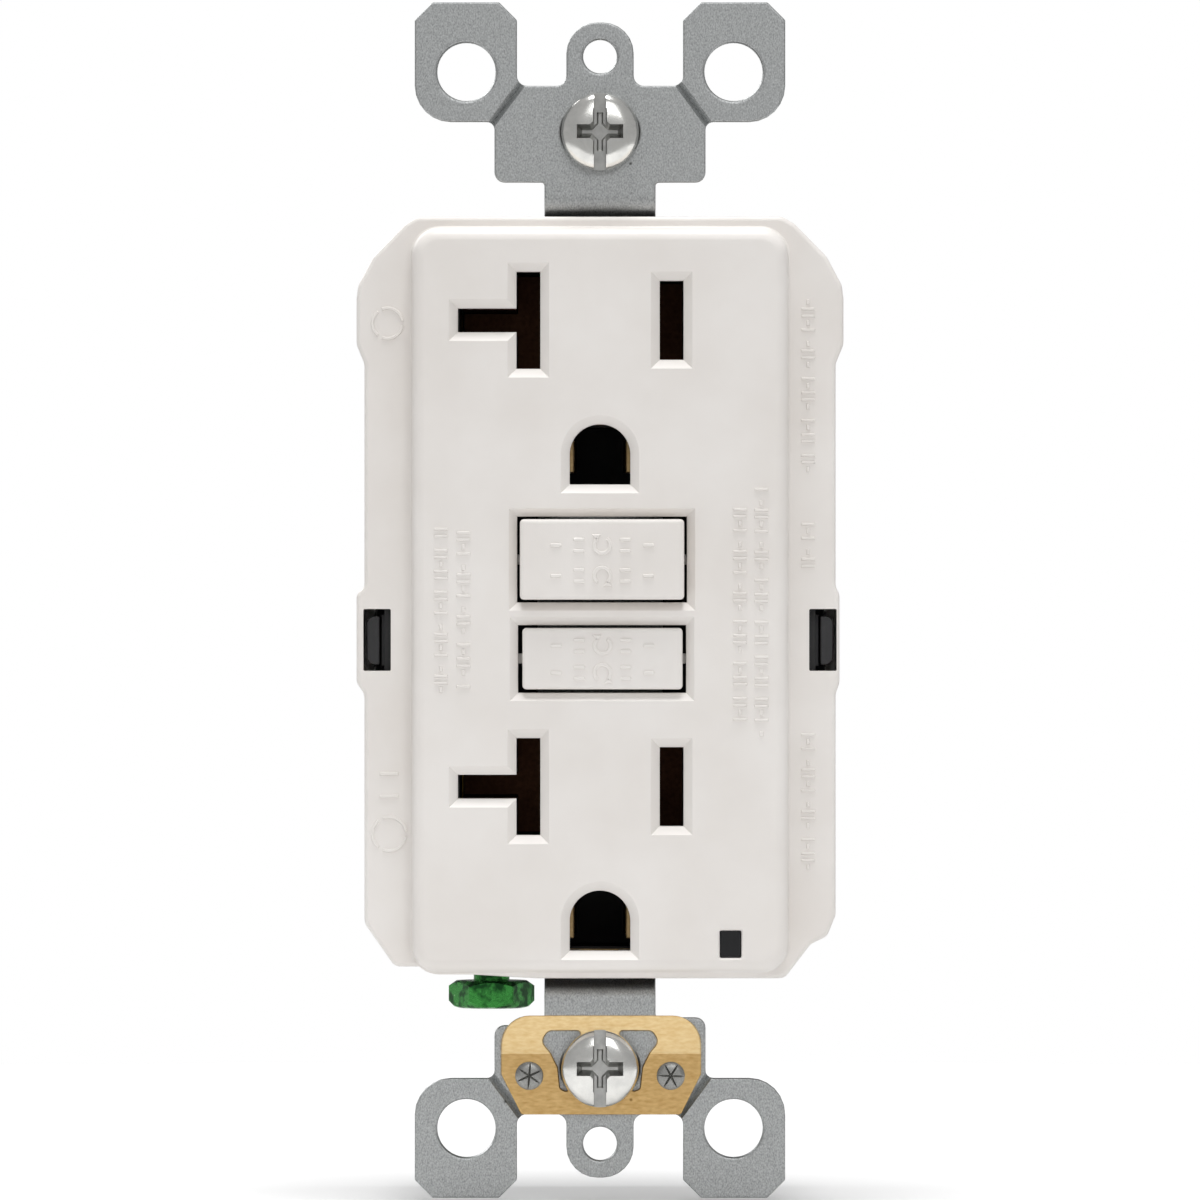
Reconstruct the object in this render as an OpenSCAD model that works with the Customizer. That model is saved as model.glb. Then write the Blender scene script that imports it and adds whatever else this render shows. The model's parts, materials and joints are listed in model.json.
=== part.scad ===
// Ground-fault outlet for a rectangular wall plate.
// X runs right, Y runs back into the wall box, Z runs up. The origin lies midway
// between the two box screws, on the rear face of the strap's ears.

/* [Cover] */
// Width of the cover over its straight sides
cover_w = 41.9; // [41.5:0.1:51]
// Height of the cover's top edge above the origin
cover_top = 34.1; // [34:0.1:34.6]
// Depth of the cover's bottom edge below the origin
cover_bottom = 33.65; // [33.5:0.05:34.4]
// Thickness of the cover's side walls
cover_wall = 1.4; // [1.1:0.1:1.6]
// Width of the raised face
face_w = 33.3; // [32.9:0.1:38]
// Height of the raised face
face_h = 66; // [65.9:0.1:66.4]
// Distance from the ears' rear face to the front of the raised face
face_proud = 6.4; // [5.6:0.1:8]
// Thickness of the face plate
face_t = 2; // [1.6:0.1:2.2]
// Bevel around the raised face
face_bevel = 0.75; // [0.3:0.05:1]
// Distance from the ears' rear face to the front of the shoulder
shoulder_proud = 2.9; // [2.6:0.1:3.4]
// Thickness of the shoulder
shoulder_t = 1.6; // [1.2:0.1:1.8]
// How far the cover's side walls reach behind the ears' rear face
cover_rear = 5; // [5:0.1:5.4]
// How far the side tabs bulge past the straight sides
tab_out = 0.7; // [0.5:0.05:1.2]
// How far the side tabs reach behind the ears' rear face
tab_rear = 8; // [7.6:0.1:9]

/* [Receptacles] */
// Height of the upper receptacle's blade slots
upper_z = 24.8; // [24.6:0.1:25]
// Height of the lower receptacle's blade slots
lower_z = -16.55; // [-16.9:0.05:-16.4]
// Distance from the centre plane to each blade slot
blade_x = 6.35; // [6.25:0.05:6.5]
// Distance from the blade slots down to the ground hole
ground_drop = 11.9; // [11.8:0.05:12]
// Height of the hot slot
hot_slot_h = 7; // [6.6:0.1:7.4]
// Height of the neutral slot
neutral_slot_h = 8.6; // [8.2:0.1:8.8]
// Width of the blade slots
slot_w = 2.1; // [1.9:0.05:2.3]
// How far the neutral slot's crossbar reaches from the centre plane
crossbar_x = 12.6; // [12:0.1:12.7]
// Width of the ground hole
ground_hole_w = 5.37; // [5.2:0.01:5.6]

/* [Buttons] */
// Width of the reset button
reset_w = 14.65; // [13.5:0.05:15]
// Height of the reset button
reset_h = 7.2; // [6.6:0.1:7.3]
// Height of the reset button's centre above the origin
reset_z = 3.59; // [3.5:0.01:3.8]
// How far the popped-out reset button stands proud of the face
reset_proud = 1.5; // [1:0.1:2]
// Travel of the reset button
reset_travel = 3.2; // [3.2:0.1:3.4]
// Width of the test button
test_w = 14.5; // [13.5:0.05:15]
// Height of the test button
test_h = 5.6; // [5:0.1:5.8]
// Height of the test button's centre
test_z = -5.23; // [-5.5:0.01:-5.1]
// Travel of the test button
test_travel = 1.5; // [1:0.1:1.6]
// Gap between a button and its window
button_gap = 0.2; // [0.15:0.05:0.35]

/* [Strap] */
// Thickness of the strap
strap_t = 1.3; // [1:0.1:1.5]
// Distance between the box screws
box_screw_pitch = 83.34; // [83:0.02:83.6]
// Distance between the wall plate's screw holes
plate_screw_pitch = 96.84; // [96.5:0.02:97]
// Length of the strap over its ears
strap_len = 106.5; // [105.6:0.1:110]
// Width of the strap over its ears
ear_span = 33; // [32.4:0.1:35]
// Distance between the ear holes, across
ear_hole_x = 23.8; // [23.4:0.1:25]
// Distance between the ear holes, along
ear_hole_z = 94.1; // [93.8:0.1:94.6]
// Diameter of the ear holes
ear_hole_d = 5.2; // [4.6:0.1:5.6]
// Diameter of the tapped holes for the wall plate's screws
plate_hole_d = 3; // [2.7:0.1:3.2]
// Depth of the band behind the ears' rear face
band_y = 1.9; // [1.9:0.05:2]
// Thickness of the self-grounding clip
clip_t = 0.5; // [0.4:0.05:0.7]

/* [Screws] */
// Diameter of the box screws
box_screw_d = 3.5; // [3.3:0.05:3.6]
// Length of the box screws under the head
box_screw_len = 25.4; // [22:0.1:31]
// Diameter of the box screws' heads
box_head_d = 6.9; // [6.4:0.1:7.2]
// Diameter of the terminal and ground screws
terminal_screw_d = 3.4; // [3:0.1:3.5]
// Diameter of the terminal screws' heads
terminal_head_d = 7.2; // [6.6:0.1:7.6]
// Width of the ground screw's hex head over its corners
ground_head_d = 7.73; // [7.3:0.01:8.2]
// Height of the ground screw's hex head
ground_head_h = 2.45; // [2:0.05:3]
// Distance from the centre plane to the ground screw
ground_screw_x = 9.72; // [9.5:0.02:10]

/* [Terminals] */
// Height of the terminal screws above and below the origin
terminal_z = 20.2; // [20.1:0.05:20.3]
// Depth of the terminal screws behind the ears' rear face
terminal_y = 10.5; // [10.2:0.1:10.6]
// Thickness of the terminal plates
terminal_t = 1.2; // [0.8:0.05:1.25]
// Thickness of the clamp plates
clamp_t = 1.6; // [1.2:0.1:1.7]
// How far a clamp plate opens
clamp_travel = 2.38; // [2:0.02:2.6]

/* [Rear housing] */
// Depth of the housing's rear face behind the ears' rear face
housing_rear = 26; // [25.8:0.1:30]
// Width of the housing
housing_w = 41; // [40.8:0.1:41.2]
// Height of the housing
housing_h = 65.6; // [65.4:0.1:66]
// Thickness of the housing's walls
housing_wall = 1.2; // [1:0.05:1.25]
// Height of the assembly screws above and below the origin
boss_z = 28.6; // [28.5:0.05:28.7]
// Distance from the centre plane to the assembly screws
boss_x = 15.8; // [15.7:0.05:15.9]

/* [Contacts] */
// Thickness of the contact strips
contact_t = 0.6; // [0.5:0.05:0.65]
// Clear width between the leaves of a blade contact
grip_w = 2.2; // [2:0.05:2.3]
// Depth of the bottom of the blade contacts
grip_bottom = 12.9; // [12.8:0.05:13]
// Distance from the centre plane to the moving contacts
arm_x = 10.4; // [10.2:0.05:10.6]

/* [Trip mechanism] */
// Travel of the latch lifter
lifter_travel = 1.2; // [1:0.05:1.2]
// Travel of the solenoid's plunger and of the latch plate
trip_travel = 0.8; // [0.6:0.05:0.8]
// Diameter of the reset pin
pin_d = 3; // [2.6:0.1:3.1]
// Diameter of the reset pin's head
pin_head_d = 3.6; // [3.4:0.05:3.7]
// Depth of the solenoid's axis behind the ears' rear face
solenoid_y = 17.9; // [17.8:0.05:18]
// Outer diameter of the solenoid's winding
winding_d = 8; // [7:0.1:8.2]

/* [Electronics] */
// Depth of the circuit board's front face
board_y = 22.4; // [22.3:0.05:22.4]
// Thickness of the circuit board
board_t = 1.2; // [1:0.1:1.6]
// Outer diameter of the sense transformers
transformer_d = 13.2; // [12:0.1:13.4]
// Height of the sense transformers' axis
transformer_z = 23.8; // [23.7:0.05:23.9]

/* [Clearances] */
// Gap between parts that are fixed to each other
fit = 0.1; // [0.05:0.05:0.15]
// Radial gap between a shaft and its bore
running = 0.05; // [0.02:0.01:0.08]
// Gap around a moving part
free_gap = 0.3; // [0.2:0.05:0.35]

/* [Hidden] */
$fn = 48;
more = 1;                                    // how far a cut runs past a face
hw = cover_w / 2;
shoulder_in = shoulder_t - shoulder_proud;   // rear face of the shoulder
face_in = face_t - face_proud;               // rear face of the face plate
lobe_out = 0.7;                              // bulge of the cover's upper side lobes
tab_z = [-7.35, 0.55];                       // height range of the side tabs
window_z = [-6.3, -0.8];                     // height range of the snap windows
inner_top = cover_top - 1.5;
inner_bottom = 1.85 - cover_bottom;
band_end = band_y + strap_t;                 // rear face of the strap's band
upper_ground_z = upper_z - ground_drop;
lower_ground_z = lower_z - ground_drop;
ground_heights = [upper_ground_z, lower_ground_z];
receptacle_heights = [upper_z, lower_z];
led = [11.57, -30.5];                        // place of the indicator window
button_x = 0.18;                             // the button windows sit just off the centre plane
button_flange = [face_in + 0.2, face_in + 1.2];  // depth range of the buttons' stop flange
button_rear = -1.6;                          // rear end of the reset button
reset_well = 0.5 - face_proud;               // front end of the reset button's spring well
pin_front = 0.2 - face_proud;                // front end of the reset pin
frame_front = face_in + fit;
frame_rear = 13.4;
frame_hw = housing_w / 2 - housing_wall - fit;
frame_hh = housing_h / 2 - housing_wall - fit;
side_x = 14.2;                               // seat of the terminal plates
recess_z = 5.2;                              // half height of a terminal recess
recess_y = 15.8;                             // bottom of a terminal recess
grip_in = blade_x - grip_w / 2;
grip_out = blade_x + grip_w / 2;
leaf_front = 0.8;                            // front edge of the contact leaves
bus_front = 6.8;
clamp_x = side_x + terminal_t + fit;
head_x = clamp_x + clamp_t + fit;
pin_neck_y = 11;
pin_head = [13.4, 14.4];
plate_y = [15.8, 16.4];                      // depth range of the latch plate
lifter_y = [15, 18.6];
latch_top = 6.4;
lifter_z = [-0.2, 8.9];
arm_y = [16.2, 16.8];
arm_z = [-17.5, 6];
spring_seat = band_y;
solenoid_z = [-24, -9];                      // height range of the bobbin
plunger_d = 4.4;
pusher_z = [-3.9, -2.5];
shell_front = cover_rear;
housing_cut = 5.4;                           // size of the housing's cut corners
boss_d = 6;
snap_in = housing_w / 2 - 1.9;               // inner edge of the snap windows
assembly_d = 2.2;

// ---- drawing aids ----

// An outline drawn in X and Z, as a slab over a range of depths
module slab(y) translate([0, y[1], 0]) rotate([90, 0, 0]) linear_extrude(y[1] - y[0]) children();

// A box over three ranges
module block(x, y, z) translate([x[0], y[0], z[0]]) cube([x[1] - x[0], y[1] - y[0], z[1] - z[0]]);

// Round bars along each axis, over a range
module bar_x(d, x) translate([x[0], 0, 0]) rotate([0, 90, 0]) cylinder(d = d, h = x[1] - x[0]);
module bar_y(d, y) translate([0, y[0], 0]) rotate([-90, 0, 0]) cylinder(d = d, h = y[1] - y[0]);
module bar_z(d, z) translate([0, 0, z[0]]) cylinder(d = d, h = z[1] - z[0]);

// Tubes along Y and Z, over a range
module tube_y(d, bore, y) difference() {
  bar_y(d, y);
  bar_y(bore, [y[0] - more, y[1] + more]);
}
module tube_z(d, bore, z) difference() {
  bar_z(d, z);
  bar_z(bore, [z[0] - more, z[1] + more]);
}

// A profile drawn in Y and Z, run along a range of X
module run_x(x) translate([x[0], 0, 0]) rotate([90, 0, 90]) linear_extrude(x[1] - x[0]) children();

// A profile drawn in X and Y, run along a range of Z
module run_z(z) translate([0, 0, z[0]]) linear_extrude(z[1] - z[0]) children();

module at(x, z) translate([x, 0, z]) children();
module both_sides() {
  children();
  mirror([1, 0, 0]) children();
}
module both_ends() {
  children();
  mirror([0, 0, 1]) children();
}

// A rectangle with its corners cut off
module cut_rect(w, h, c) polygon([
  [c - w / 2, -h / 2], [w / 2 - c, -h / 2], [w / 2, c - h / 2], [w / 2, h / 2 - c],
  [w / 2 - c, h / 2], [c - w / 2, h / 2], [-w / 2, h / 2 - c], [-w / 2, c - h / 2]
]);

// A slot with round ends, across
module oval(w, h) {
  square([w - h, h], center = true);
  for (side = [-1, 1]) translate([side * (w - h) / 2, 0]) circle(d = h);
}

// ---- front cover ----

// Upper right edge of the shoulder: a rounded corner, then the side lobe
function shoulder_top() = [
  [hw - 4.75, cover_top], [hw - 3.65, cover_top - 0.65], [hw - 0.8, cover_top - 3.55],
  [hw + lobe_out - 0.15, cover_top - 6.1], [hw + lobe_out, cover_top - 7.3],
  [hw + lobe_out, cover_top - 11.4], [hw, cover_top - 13.1]
];
function mirrored(points) = [for (i = [len(points) - 1:-1:0]) [-points[i][0], points[i][1]]];

module shoulder_outline() {
  low_right = [
    [hw, 5.6 - cover_bottom], [hw - 0.75, 3.75 - cover_bottom], [hw - 2.2, 3.05 - cover_bottom],
    [hw - 4.55, -cover_bottom]
  ];
  low_left = [
    [3 - hw, 1.05 - cover_bottom], [2.55 - hw, 1.25 - cover_bottom], [-hw, 4.9 - cover_bottom]
  ];
  polygon(concat(shoulder_top(), low_right, low_left, mirrored(shoulder_top())));
  for (side = [-1, 1]) {
    out = side < 0 ? tab_out : tab_out / 2;
    polygon([
      [side * (hw - 2), tab_z[0] - 1.05], [side * hw, tab_z[0] - 1.05], [side * (hw + out), tab_z[0]],
      [side * (hw + out), tab_z[1]], [side * hw, tab_z[1] + 0.6], [side * (hw - 2), tab_z[1] + 0.6]
    ]);
  }
}

module face_trapezoid(half) polygon([
  [half - face_bevel, -face_proud], [half, face_bevel - face_proud], [half, 0], [-half, 0],
  [-half, face_bevel - face_proud], [face_bevel - half, -face_proud]
]);

// The raised face, bevelled along its four edges
module raised_face() intersection() {
  slab([-face_proud, shoulder_in]) cut_rect(face_w, face_h, 1.2);
  run_z([-face_h, face_h]) face_trapezoid(face_w / 2);
  run_x([-face_w, face_w]) rotate(90) mirror([0, 1]) face_trapezoid(face_h / 2);
}

// The ground hole: round above, flat below
module ground_hole() {
  circle(d = ground_hole_w);
  translate([-ground_hole_w / 2, -2.65]) square([ground_hole_w, 2.65]);
}

module receptacle_slots() {
  translate([blade_x, 0]) square([slot_w, hot_slot_h], center = true);
  translate([-blade_x, 0]) square([slot_w, neutral_slot_h], center = true);
  translate([-crossbar_x, -slot_w / 2]) square([crossbar_x - blade_x, slot_w]);
  translate([0, -ground_drop]) ground_hole();
}

module front_cover() color("#e2ddd9") {
  difference() {
    union() {
      slab([-shoulder_proud, cover_rear]) shoulder_outline();
      raised_face();
      for (side = [-1, 1]) {
        out = side * (hw + (side < 0 ? tab_out : tab_out / 2));
        mid = side * (housing_w / 2 - 0.3);
        block([min(out, mid), max(out, mid)], [shoulder_in, tab_rear], tab_z);
      }
    }
    slab([shoulder_in, cover_rear + more]) inner_outline();
    slab([face_in, shoulder_in + more]) square([face_w - 2.4, face_h - 2.4], center = true);
    for (z = receptacle_heights) at(0, z) slab([-face_proud - more, 0]) receptacle_slots();
    at(button_x, reset_z) slab([-face_proud - more, 0])
      square([reset_w + 2 * button_gap, reset_h + 2 * button_gap], center = true);
    at(button_x, test_z) slab([-face_proud - more, 0])
      square([test_w + 2 * button_gap, test_h + 2 * button_gap], center = true);
    at(led[0], led[1]) slab([-face_proud - more, 0]) square([1.9, 2.4], center = true);
    both_sides() {
      block([snap_in, hw + 0.1], [-shoulder_proud - more, cover_rear], window_z);
      block([snap_in, hw + 5], [5.3, 7.5], window_z);
    }
    // The strap's necks leave through the end walls
    block([-5.4, 5.4], [shoulder_in, cover_rear + more], [inner_top - more, cover_top + more]);
    block([-5.4, 5.4], [shoulder_in, cover_rear + more], [-cover_bottom - more, inner_bottom + more]);
    // The ground tab and its screw sit in a notch
    block([-ground_screw_x - 3.8, 0], [shoulder_in, cover_rear + more], [-cover_bottom - more, inner_bottom + more]);
  }
  both_sides() both_ends() at(boss_x, boss_z) tube_y(boss_d - 1.4, assembly_d + 2 * running, [shoulder_in, cover_rear]);
}

module inner_outline() {
  w = hw - cover_wall;
  polygon([
    [w - 3.6, inner_top], [w, inner_top - 4.6], [w, inner_bottom + 4], [w - 3.2, inner_bottom],
    [3.2 - w, inner_bottom], [-w, inner_bottom + 4], [-w, inner_top - 4.6], [3.6 - w, inner_top]
  ]);
}

module light_pipe() color("#5a5f66") at(led[0], led[1]) {
  block([-0.9, 0.9], [0.1 - face_proud, frame_front], [-1.15, 1.15]);
  block([-0.8, 0.8], [frame_front, 17.9], [-0.6, 1]);
}

// ---- buttons ----

module reset_button() color("#e4dfdb") difference() {
  union() {
    at(button_x, reset_z)
      block([-reset_w / 2, reset_w / 2], [-face_proud - reset_proud, button_rear], [-reset_h / 2, reset_h / 2]);
    at(button_x, reset_z)
      block([-reset_w / 2 - 1, reset_w / 2 + 1], button_flange, [-reset_h / 2 - 0.9, reset_h / 2 + 0.9]);
  }
  at(0, reset_z) bar_y(6.6, [reset_well, 0]);
  at(0, reset_z) bar_y(pin_d, [pin_front, 0]);
}

module test_button() color("#e4dfdb") {
  at(button_x, test_z) {
    block([-test_w / 2, test_w / 2], [-face_proud - 0.1, button_flange[1]], [-test_h / 2, test_h / 2]);
    block([-test_w / 2 - 1, test_w / 2 + 1], button_flange, [-test_h / 2 - 0.9, test_h / 2 + 0.4]);
  }
  at(0, test_z) bar_y(2.6, [button_flange[1], 9.8]);
}

module reset_pin() color("#a9abac") at(0, reset_z) {
  bar_y(pin_d, [pin_front, pin_neck_y]);
  bar_y(2.2, [pin_neck_y, pin_head[0]]);
  translate([0, pin_head[0], 0]) rotate([-90, 0, 0]) cylinder(d1 = pin_head_d, d2 = 2, h = pin_head[1] - pin_head[0]);
}

module reset_spring() color("#c8cacb") at(0, reset_z) tube_y(5.8, 4.4, [reset_well, spring_seat]);
module test_spring() color("#c8cacb") at(0, test_z) tube_y(4.6, 3.4, [button_flange[1], spring_seat]);

module test_contact() color("#c89a4b") block([-6.3, 6.3], [11.9, 12.3], [test_z - 1, test_z + 1]);

// ---- mounting strap ----

// One end of the strap: a centre tongue and two break-off ears
module strap_end() {
  end = strap_len / 2;
  inner = 7.4;
  out = ear_span / 2;
  corner = [out - 3.2, 45.8];
  difference() {
    union() {
      translate([-9.4, 37.2]) square([18.8, 8.6]);
      translate([-3, 45.7]) square([6, 2.75]);
      translate([0, 48.45]) circle(r = 3);
      for (side = [-1, 1]) {
        polygon([
          [side * inner, corner[1] - 0.1], [side * inner, end - 1.6], [side * (inner + 1.6), end],
          [side * (out - 1.6), end], [side * out, end - 1.6], [side * out, corner[1]],
          [side * corner[0], corner[1] - 3.2], [side * 9, corner[1] - 3.2], [side * 9, corner[1] - 0.1]
        ]);
        translate([side * corner[0], corner[1]]) circle(r = 3.2);
      }
    }
    for (side = [-1, 1]) translate([side * ear_hole_x / 2, ear_hole_z / 2]) circle(d = ear_hole_d);
    translate([0, plate_screw_pitch / 2]) circle(d = plate_hole_d);
    translate([0, box_screw_pitch / 2]) oval(6.9, box_screw_d + 0.7);
  }
}

// The joggled neck, seen from the side: from the ears' level back to the band
module neck_profile() polygon([
  [-strap_t, 37.3], [-strap_t, 35.8], [band_y, 33.6], [band_y, 32], [band_end, 32], [band_end, 34.4],
  [0, 36.6], [0, 37.3]
]);

module strap_band() difference() {
  union() {
    translate([-3.4, -32]) square([6.8, 64]);
    translate([-5.6, test_z - 3.8]) square([11.2, reset_z - test_z + 8]);
    for (z = ground_heights) translate([-5.6, z - 3.2]) square([11.2, 7]);
    for (z = [-32, 29.5]) translate([-4.95, z]) square([9.9, 2.5]);
    translate([-ground_screw_x - 3.5, -ground_tab_z[1]]) square([ground_screw_x, 3.4]);
  }
  for (z = ground_heights) {
    translate([0, z]) circle(d = 6.6);
    for (side = [-1, 1]) translate([side * 4.5, z]) circle(d = 1.6);
  }
  translate([0, reset_z]) circle(d = pin_d + 0.4);
  translate([0, test_z]) circle(d = 3);
}

ground_tab_z = [31.7, 31.7 + strap_t];       // the ground tab's faces, below the origin
ground_screw_y = 5.6;

module mounting_strap() color("#979a9b") {
  difference() {
    union() {
      both_ends() slab([-strap_t, 0]) strap_end();
      both_ends() run_x([-4.95, 4.95]) neck_profile();
      slab([band_y, band_end]) strap_band();
      block([-ground_screw_x - 3.5, -ground_screw_x + 3.4], [band_y, 9.4], -[ground_tab_z[1], ground_tab_z[0]]);
    }
    at(-ground_screw_x, 0) translate([0, ground_screw_y, 0]) bar_z(terminal_screw_d + 2 * running, [-40, -30]);
    // The lower plate is cut back beside the ground screw
    block([-10, -4.95], [-2, 1], [-37.9, -37]);
    both_sides() at(clip_rivet[0], clip_rivet[1]) bar_y(1.6, [-2, 1]);
  }
}

clip_rivet = [6.3, -42.35];
clip_y = [-strap_t - clip_t, -strap_t];

// The clip's outline: rounded shoulders above, diagonal corners below, two kidney windows
module clip_outline() difference() {
  union() {
    polygon([[-5.1, -37], [5.1, -37], [8.9, -40.1], [8.9, -42.2], [7.2, -45.8], [-7.2, -45.8], [-8.9, -42.2], [-8.9, -40.1]]);
    for (side = [-1, 1]) translate([side * 5.8, -40.1]) circle(r = 3.1);
  }
  for (side = [-1, 1]) {
    polygon([
      [side * 1.6, -38.5], [side * 4.4, -38.5], [side * 5.2, -39.6], [side * 5.2, -41],
      [side * 3.4, -43.7], [side * 1.6, -43.7]
    ]);
    translate([side * clip_rivet[0], clip_rivet[1]]) circle(d = 1.6);
  }
  translate([0, -box_screw_pitch / 2]) circle(d = box_screw_d + 0.3);
}
module self_ground_clip() color("#c9a45c") slab(clip_y) clip_outline();

module clip_rivets() color("#bd9a55") both_sides() at(clip_rivet[0], clip_rivet[1]) {
  bar_y(1.6 - 2 * 0.02, [clip_y[0], 0]);
  bar_y(2.5, [clip_y[0] - 0.35, clip_y[0]]);
}

// ---- screws of the strap ----

// A box screw: a low domed head with a full slot and a cross, an undercut neck and a threaded shank
module box_screw(seat) {
  head_h = 1.9;
  difference() {
    union() {
      translate([0, seat, 0]) rotate([90, 0, 0]) cylinder(d = box_head_d, h = head_h - 0.7);
      translate([0, seat - head_h + 0.7, 0]) rotate([90, 0, 0]) cylinder(d1 = box_head_d, d2 = box_head_d - 2.4, h = 0.7);
    }
    block([-0.6, 0.6], [seat - head_h - more, seat - head_h + 1], [-5, 5]);
    block([-2, 2], [seat - head_h - more, seat - head_h + 1], [-0.5, 0.5]);
  }
  bar_y(box_screw_d - 2 * running, [seat, undercut_end]);
  bar_y(box_screw_d, [undercut_end, seat + box_screw_len]);
}
module box_screw_upper() color("#b9bbbc") at(0, box_screw_pitch / 2) box_screw(-strap_t - fit);
module box_screw_lower() color("#b9bbbc") at(0, -box_screw_pitch / 2) box_screw(clip_y[0] - fit);

undercut_end = 1.2;
module retaining_washers() color("#8d6a45") both_ends() at(0, box_screw_pitch / 2)
  tube_y(9, box_screw_d + 2 * running, [0, 0.8]);

module ground_screw() color("#1d7a34") translate([-ground_screw_x, ground_screw_y, 0]) {
  top = -33.9;
  intersection() {
    translate([0, 0, top - ground_head_h]) cylinder(d = ground_head_d, h = ground_head_h, $fn = 6);
    union() {
      bar_z(ground_head_d, [top - ground_head_h + 0.5, top]);
      translate([0, 0, top - ground_head_h]) cylinder(d1 = ground_head_d - 1.4, d2 = ground_head_d, h = 0.5);
    }
  }
  bar_z(terminal_screw_d, [top, -27.2]);
}

// ---- ground contacts ----

// A plate riveted behind the strap, with two legs that pinch the ground pin
module ground_contact(z) at(0, z) {
  difference() {
    block([-5.2, 5.2], [band_end, band_end + 0.6], [-3, 3]);
    block([-2.75, 2.75], [band_end - more, band_end + more], [-2.75, 2.75]);
    for (side = [-1, 1]) translate([side * 4.5, 0, 0]) bar_y(1.6, [band_end - more, band_end + more]);
  }
  both_sides() run_z([-1.5, 1.5]) polygon([
    [2.75, band_end], [3.4, band_end], [2.75, 9.2], [3.4, 12], [2.75, 12], [2.1, 9.2]
  ]);
}
module ground_contact_upper() color("#9a8260") ground_contact(upper_ground_z);
module ground_contact_lower() color("#9a8260") ground_contact(lower_ground_z);

module ground_contact_rivets() color("#b08d57") for (z = ground_heights) both_sides() at(4.5, z) {
  bar_y(1.56, [band_y - 0.5, band_end + 1.1]);
  bar_y(2.1, [band_y - 0.5, band_y]);
  bar_y(2.1, [band_end + 0.6, band_end + 1.1]);
}

// ---- middle frame ----

// Room for one blade contact, from the face to the rear of the frame
module grip_pocket(side, half) {
  block([blade_x - grip_w / 2 - contact_t - fit, grip_out + contact_t + fit], [-10, 20], [-half, half]);
  if (side < 0) block([blade_x, crossbar_x - 0.1], [-10, 20], [-1.8, 1.8]);
}

module contact_pockets(side) {
  for (z = receptacle_heights) at(0, z) grip_pocket(side, side < 0 ? 4.7 : 4.1);
  block([grip_out - fit, grip_out + contact_t + fit], [bus_front - fit, 20], [bus_z[0] - fit, bus_z[1] + fit]);
  block([grip_out - fit, arm_x + 2.3], [grip_bottom - contact_t - 0.2, 20], [reset_z - 2.5, reset_z + 2.5]);
  block([grip_out - fit, side_x + more], [grip_bottom - 0.05, 20], [terminal_z - 2.2, terminal_z + 2.2]);
}

bus_z = [-21.4, 29.4];

module middle_frame() color("#2b2b2d") {
  difference() {
    union() {
      slab([frame_front, shoulder_in + more]) square([face_w - 2.6, face_h - 2.6], center = true);
      slab([shoulder_in + fit, frame_rear]) cut_rect(2 * frame_hw, 2 * frame_hh, housing_cut);
      for (z = ground_heights) block([-4.4, 4.4], [frame_rear - more, 15.4], [z - 3, z + 3]);
    }
    // The strap lies in a channel, wider where it is wider
    block([-3.6, 3.6], [-10, band_end], [-40, 40]);
    block([-5.8, 5.8], [-10, band_end], [test_z - 4, reset_z + 4.4]);
    for (z = ground_heights) {
      block([-5.8, 5.8], [-10, band_end + 0.65], [z - 4, z + 4]);
      for (side = [-1, 1]) at(side * 4.5, z) bar_y(3, [band_end, band_end + 1.3]);
      block([-3.6, 3.6], [band_end, 14.6], [z - 2.55, z + 2.55]);
    }
    block([-5.2, 5.2], [-10, band_end], [29.2, 40]);
    block([-ground_screw_x - 3.8, 5.2], [-10, band_end], [-40, -29]);
    block([-ground_screw_x - 3.8, -5.9], [band_end - more, 9.6], [-40, 0.1 - ground_tab_z[0]]);
    translate([-ground_screw_x, ground_screw_y, 0]) bar_z(terminal_screw_d + 2 * free_gap, [-40, -26.6]);
    // Wells for the buttons
    block([-9, 9], [-10, band_y], [test_z - 4.2, reset_z + 5]);
    // Contacts
    contact_pockets(1);
    mirror([1, 0, 0]) contact_pockets(-1);
    block([-6.5, 6.5], [11.3, 20], [test_z - 1.5, test_z + 1.5]);
    at(0, test_z) bar_y(2.6 + 2 * fit, [0, 20]);
    at(0, reset_z) {
      bar_y(pin_d + 2 * running, [0, 20]);
      bar_y(5.6, [12.2, 20]);
    }
    // Terminals, assembly screws, light pipe and solenoid
    both_sides() both_ends() {
      block([side_x, 30], [shell_front - fit, 20], [terminal_z - recess_z, terminal_z + recess_z]);
      at(boss_x, boss_z) bar_y(boss_d + 2 * fit, [-10, 20]);
      translate([0, terminal_y, terminal_z])
        bar_x(terminal_screw_d + 2 * free_gap, [shank_end - free_gap, side_x + more]);
    }
    at(led[0], led[1]) block([-1, 1], [-10, 20], [-1.25, 1.25]);
    block([-4.6, 4.6], [12.9, 20], [solenoid_z[0] - 1, solenoid_z[1] + 1.4]);
  }
  both_sides() at(guide_x, reset_z) bar_y(1.8, [frame_rear - 0.1, 20.4]);
}
guide_x = 4.9;
shank_end = 11.4;

// ---- contact strips ----

// A strip with one U-shaped grip for each receptacle and a tab for the fixed contact
module contact_strip(half) {
  rear = [grip_bottom - contact_t, grip_bottom];
  difference() {
    union() {
      for (z = receptacle_heights) {
        block([grip_in - contact_t, grip_in], [leaf_front, grip_bottom], [z - half, z + half]);
        block([grip_out, grip_out + contact_t], [leaf_front, grip_bottom], [z - half, z + half]);
        block([grip_in - contact_t, grip_out + contact_t], rear, [z - half, z + half]);
      }
      block([grip_out, grip_out + contact_t], [bus_front, grip_bottom], bus_z);
      block([grip_out, arm_x + 2], rear, [reset_z - 2.2, reset_z + 2.2]);
    }
    children();
  }
}

module hot_contact_strip() color("#b9874a") contact_strip(3.8);

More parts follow.
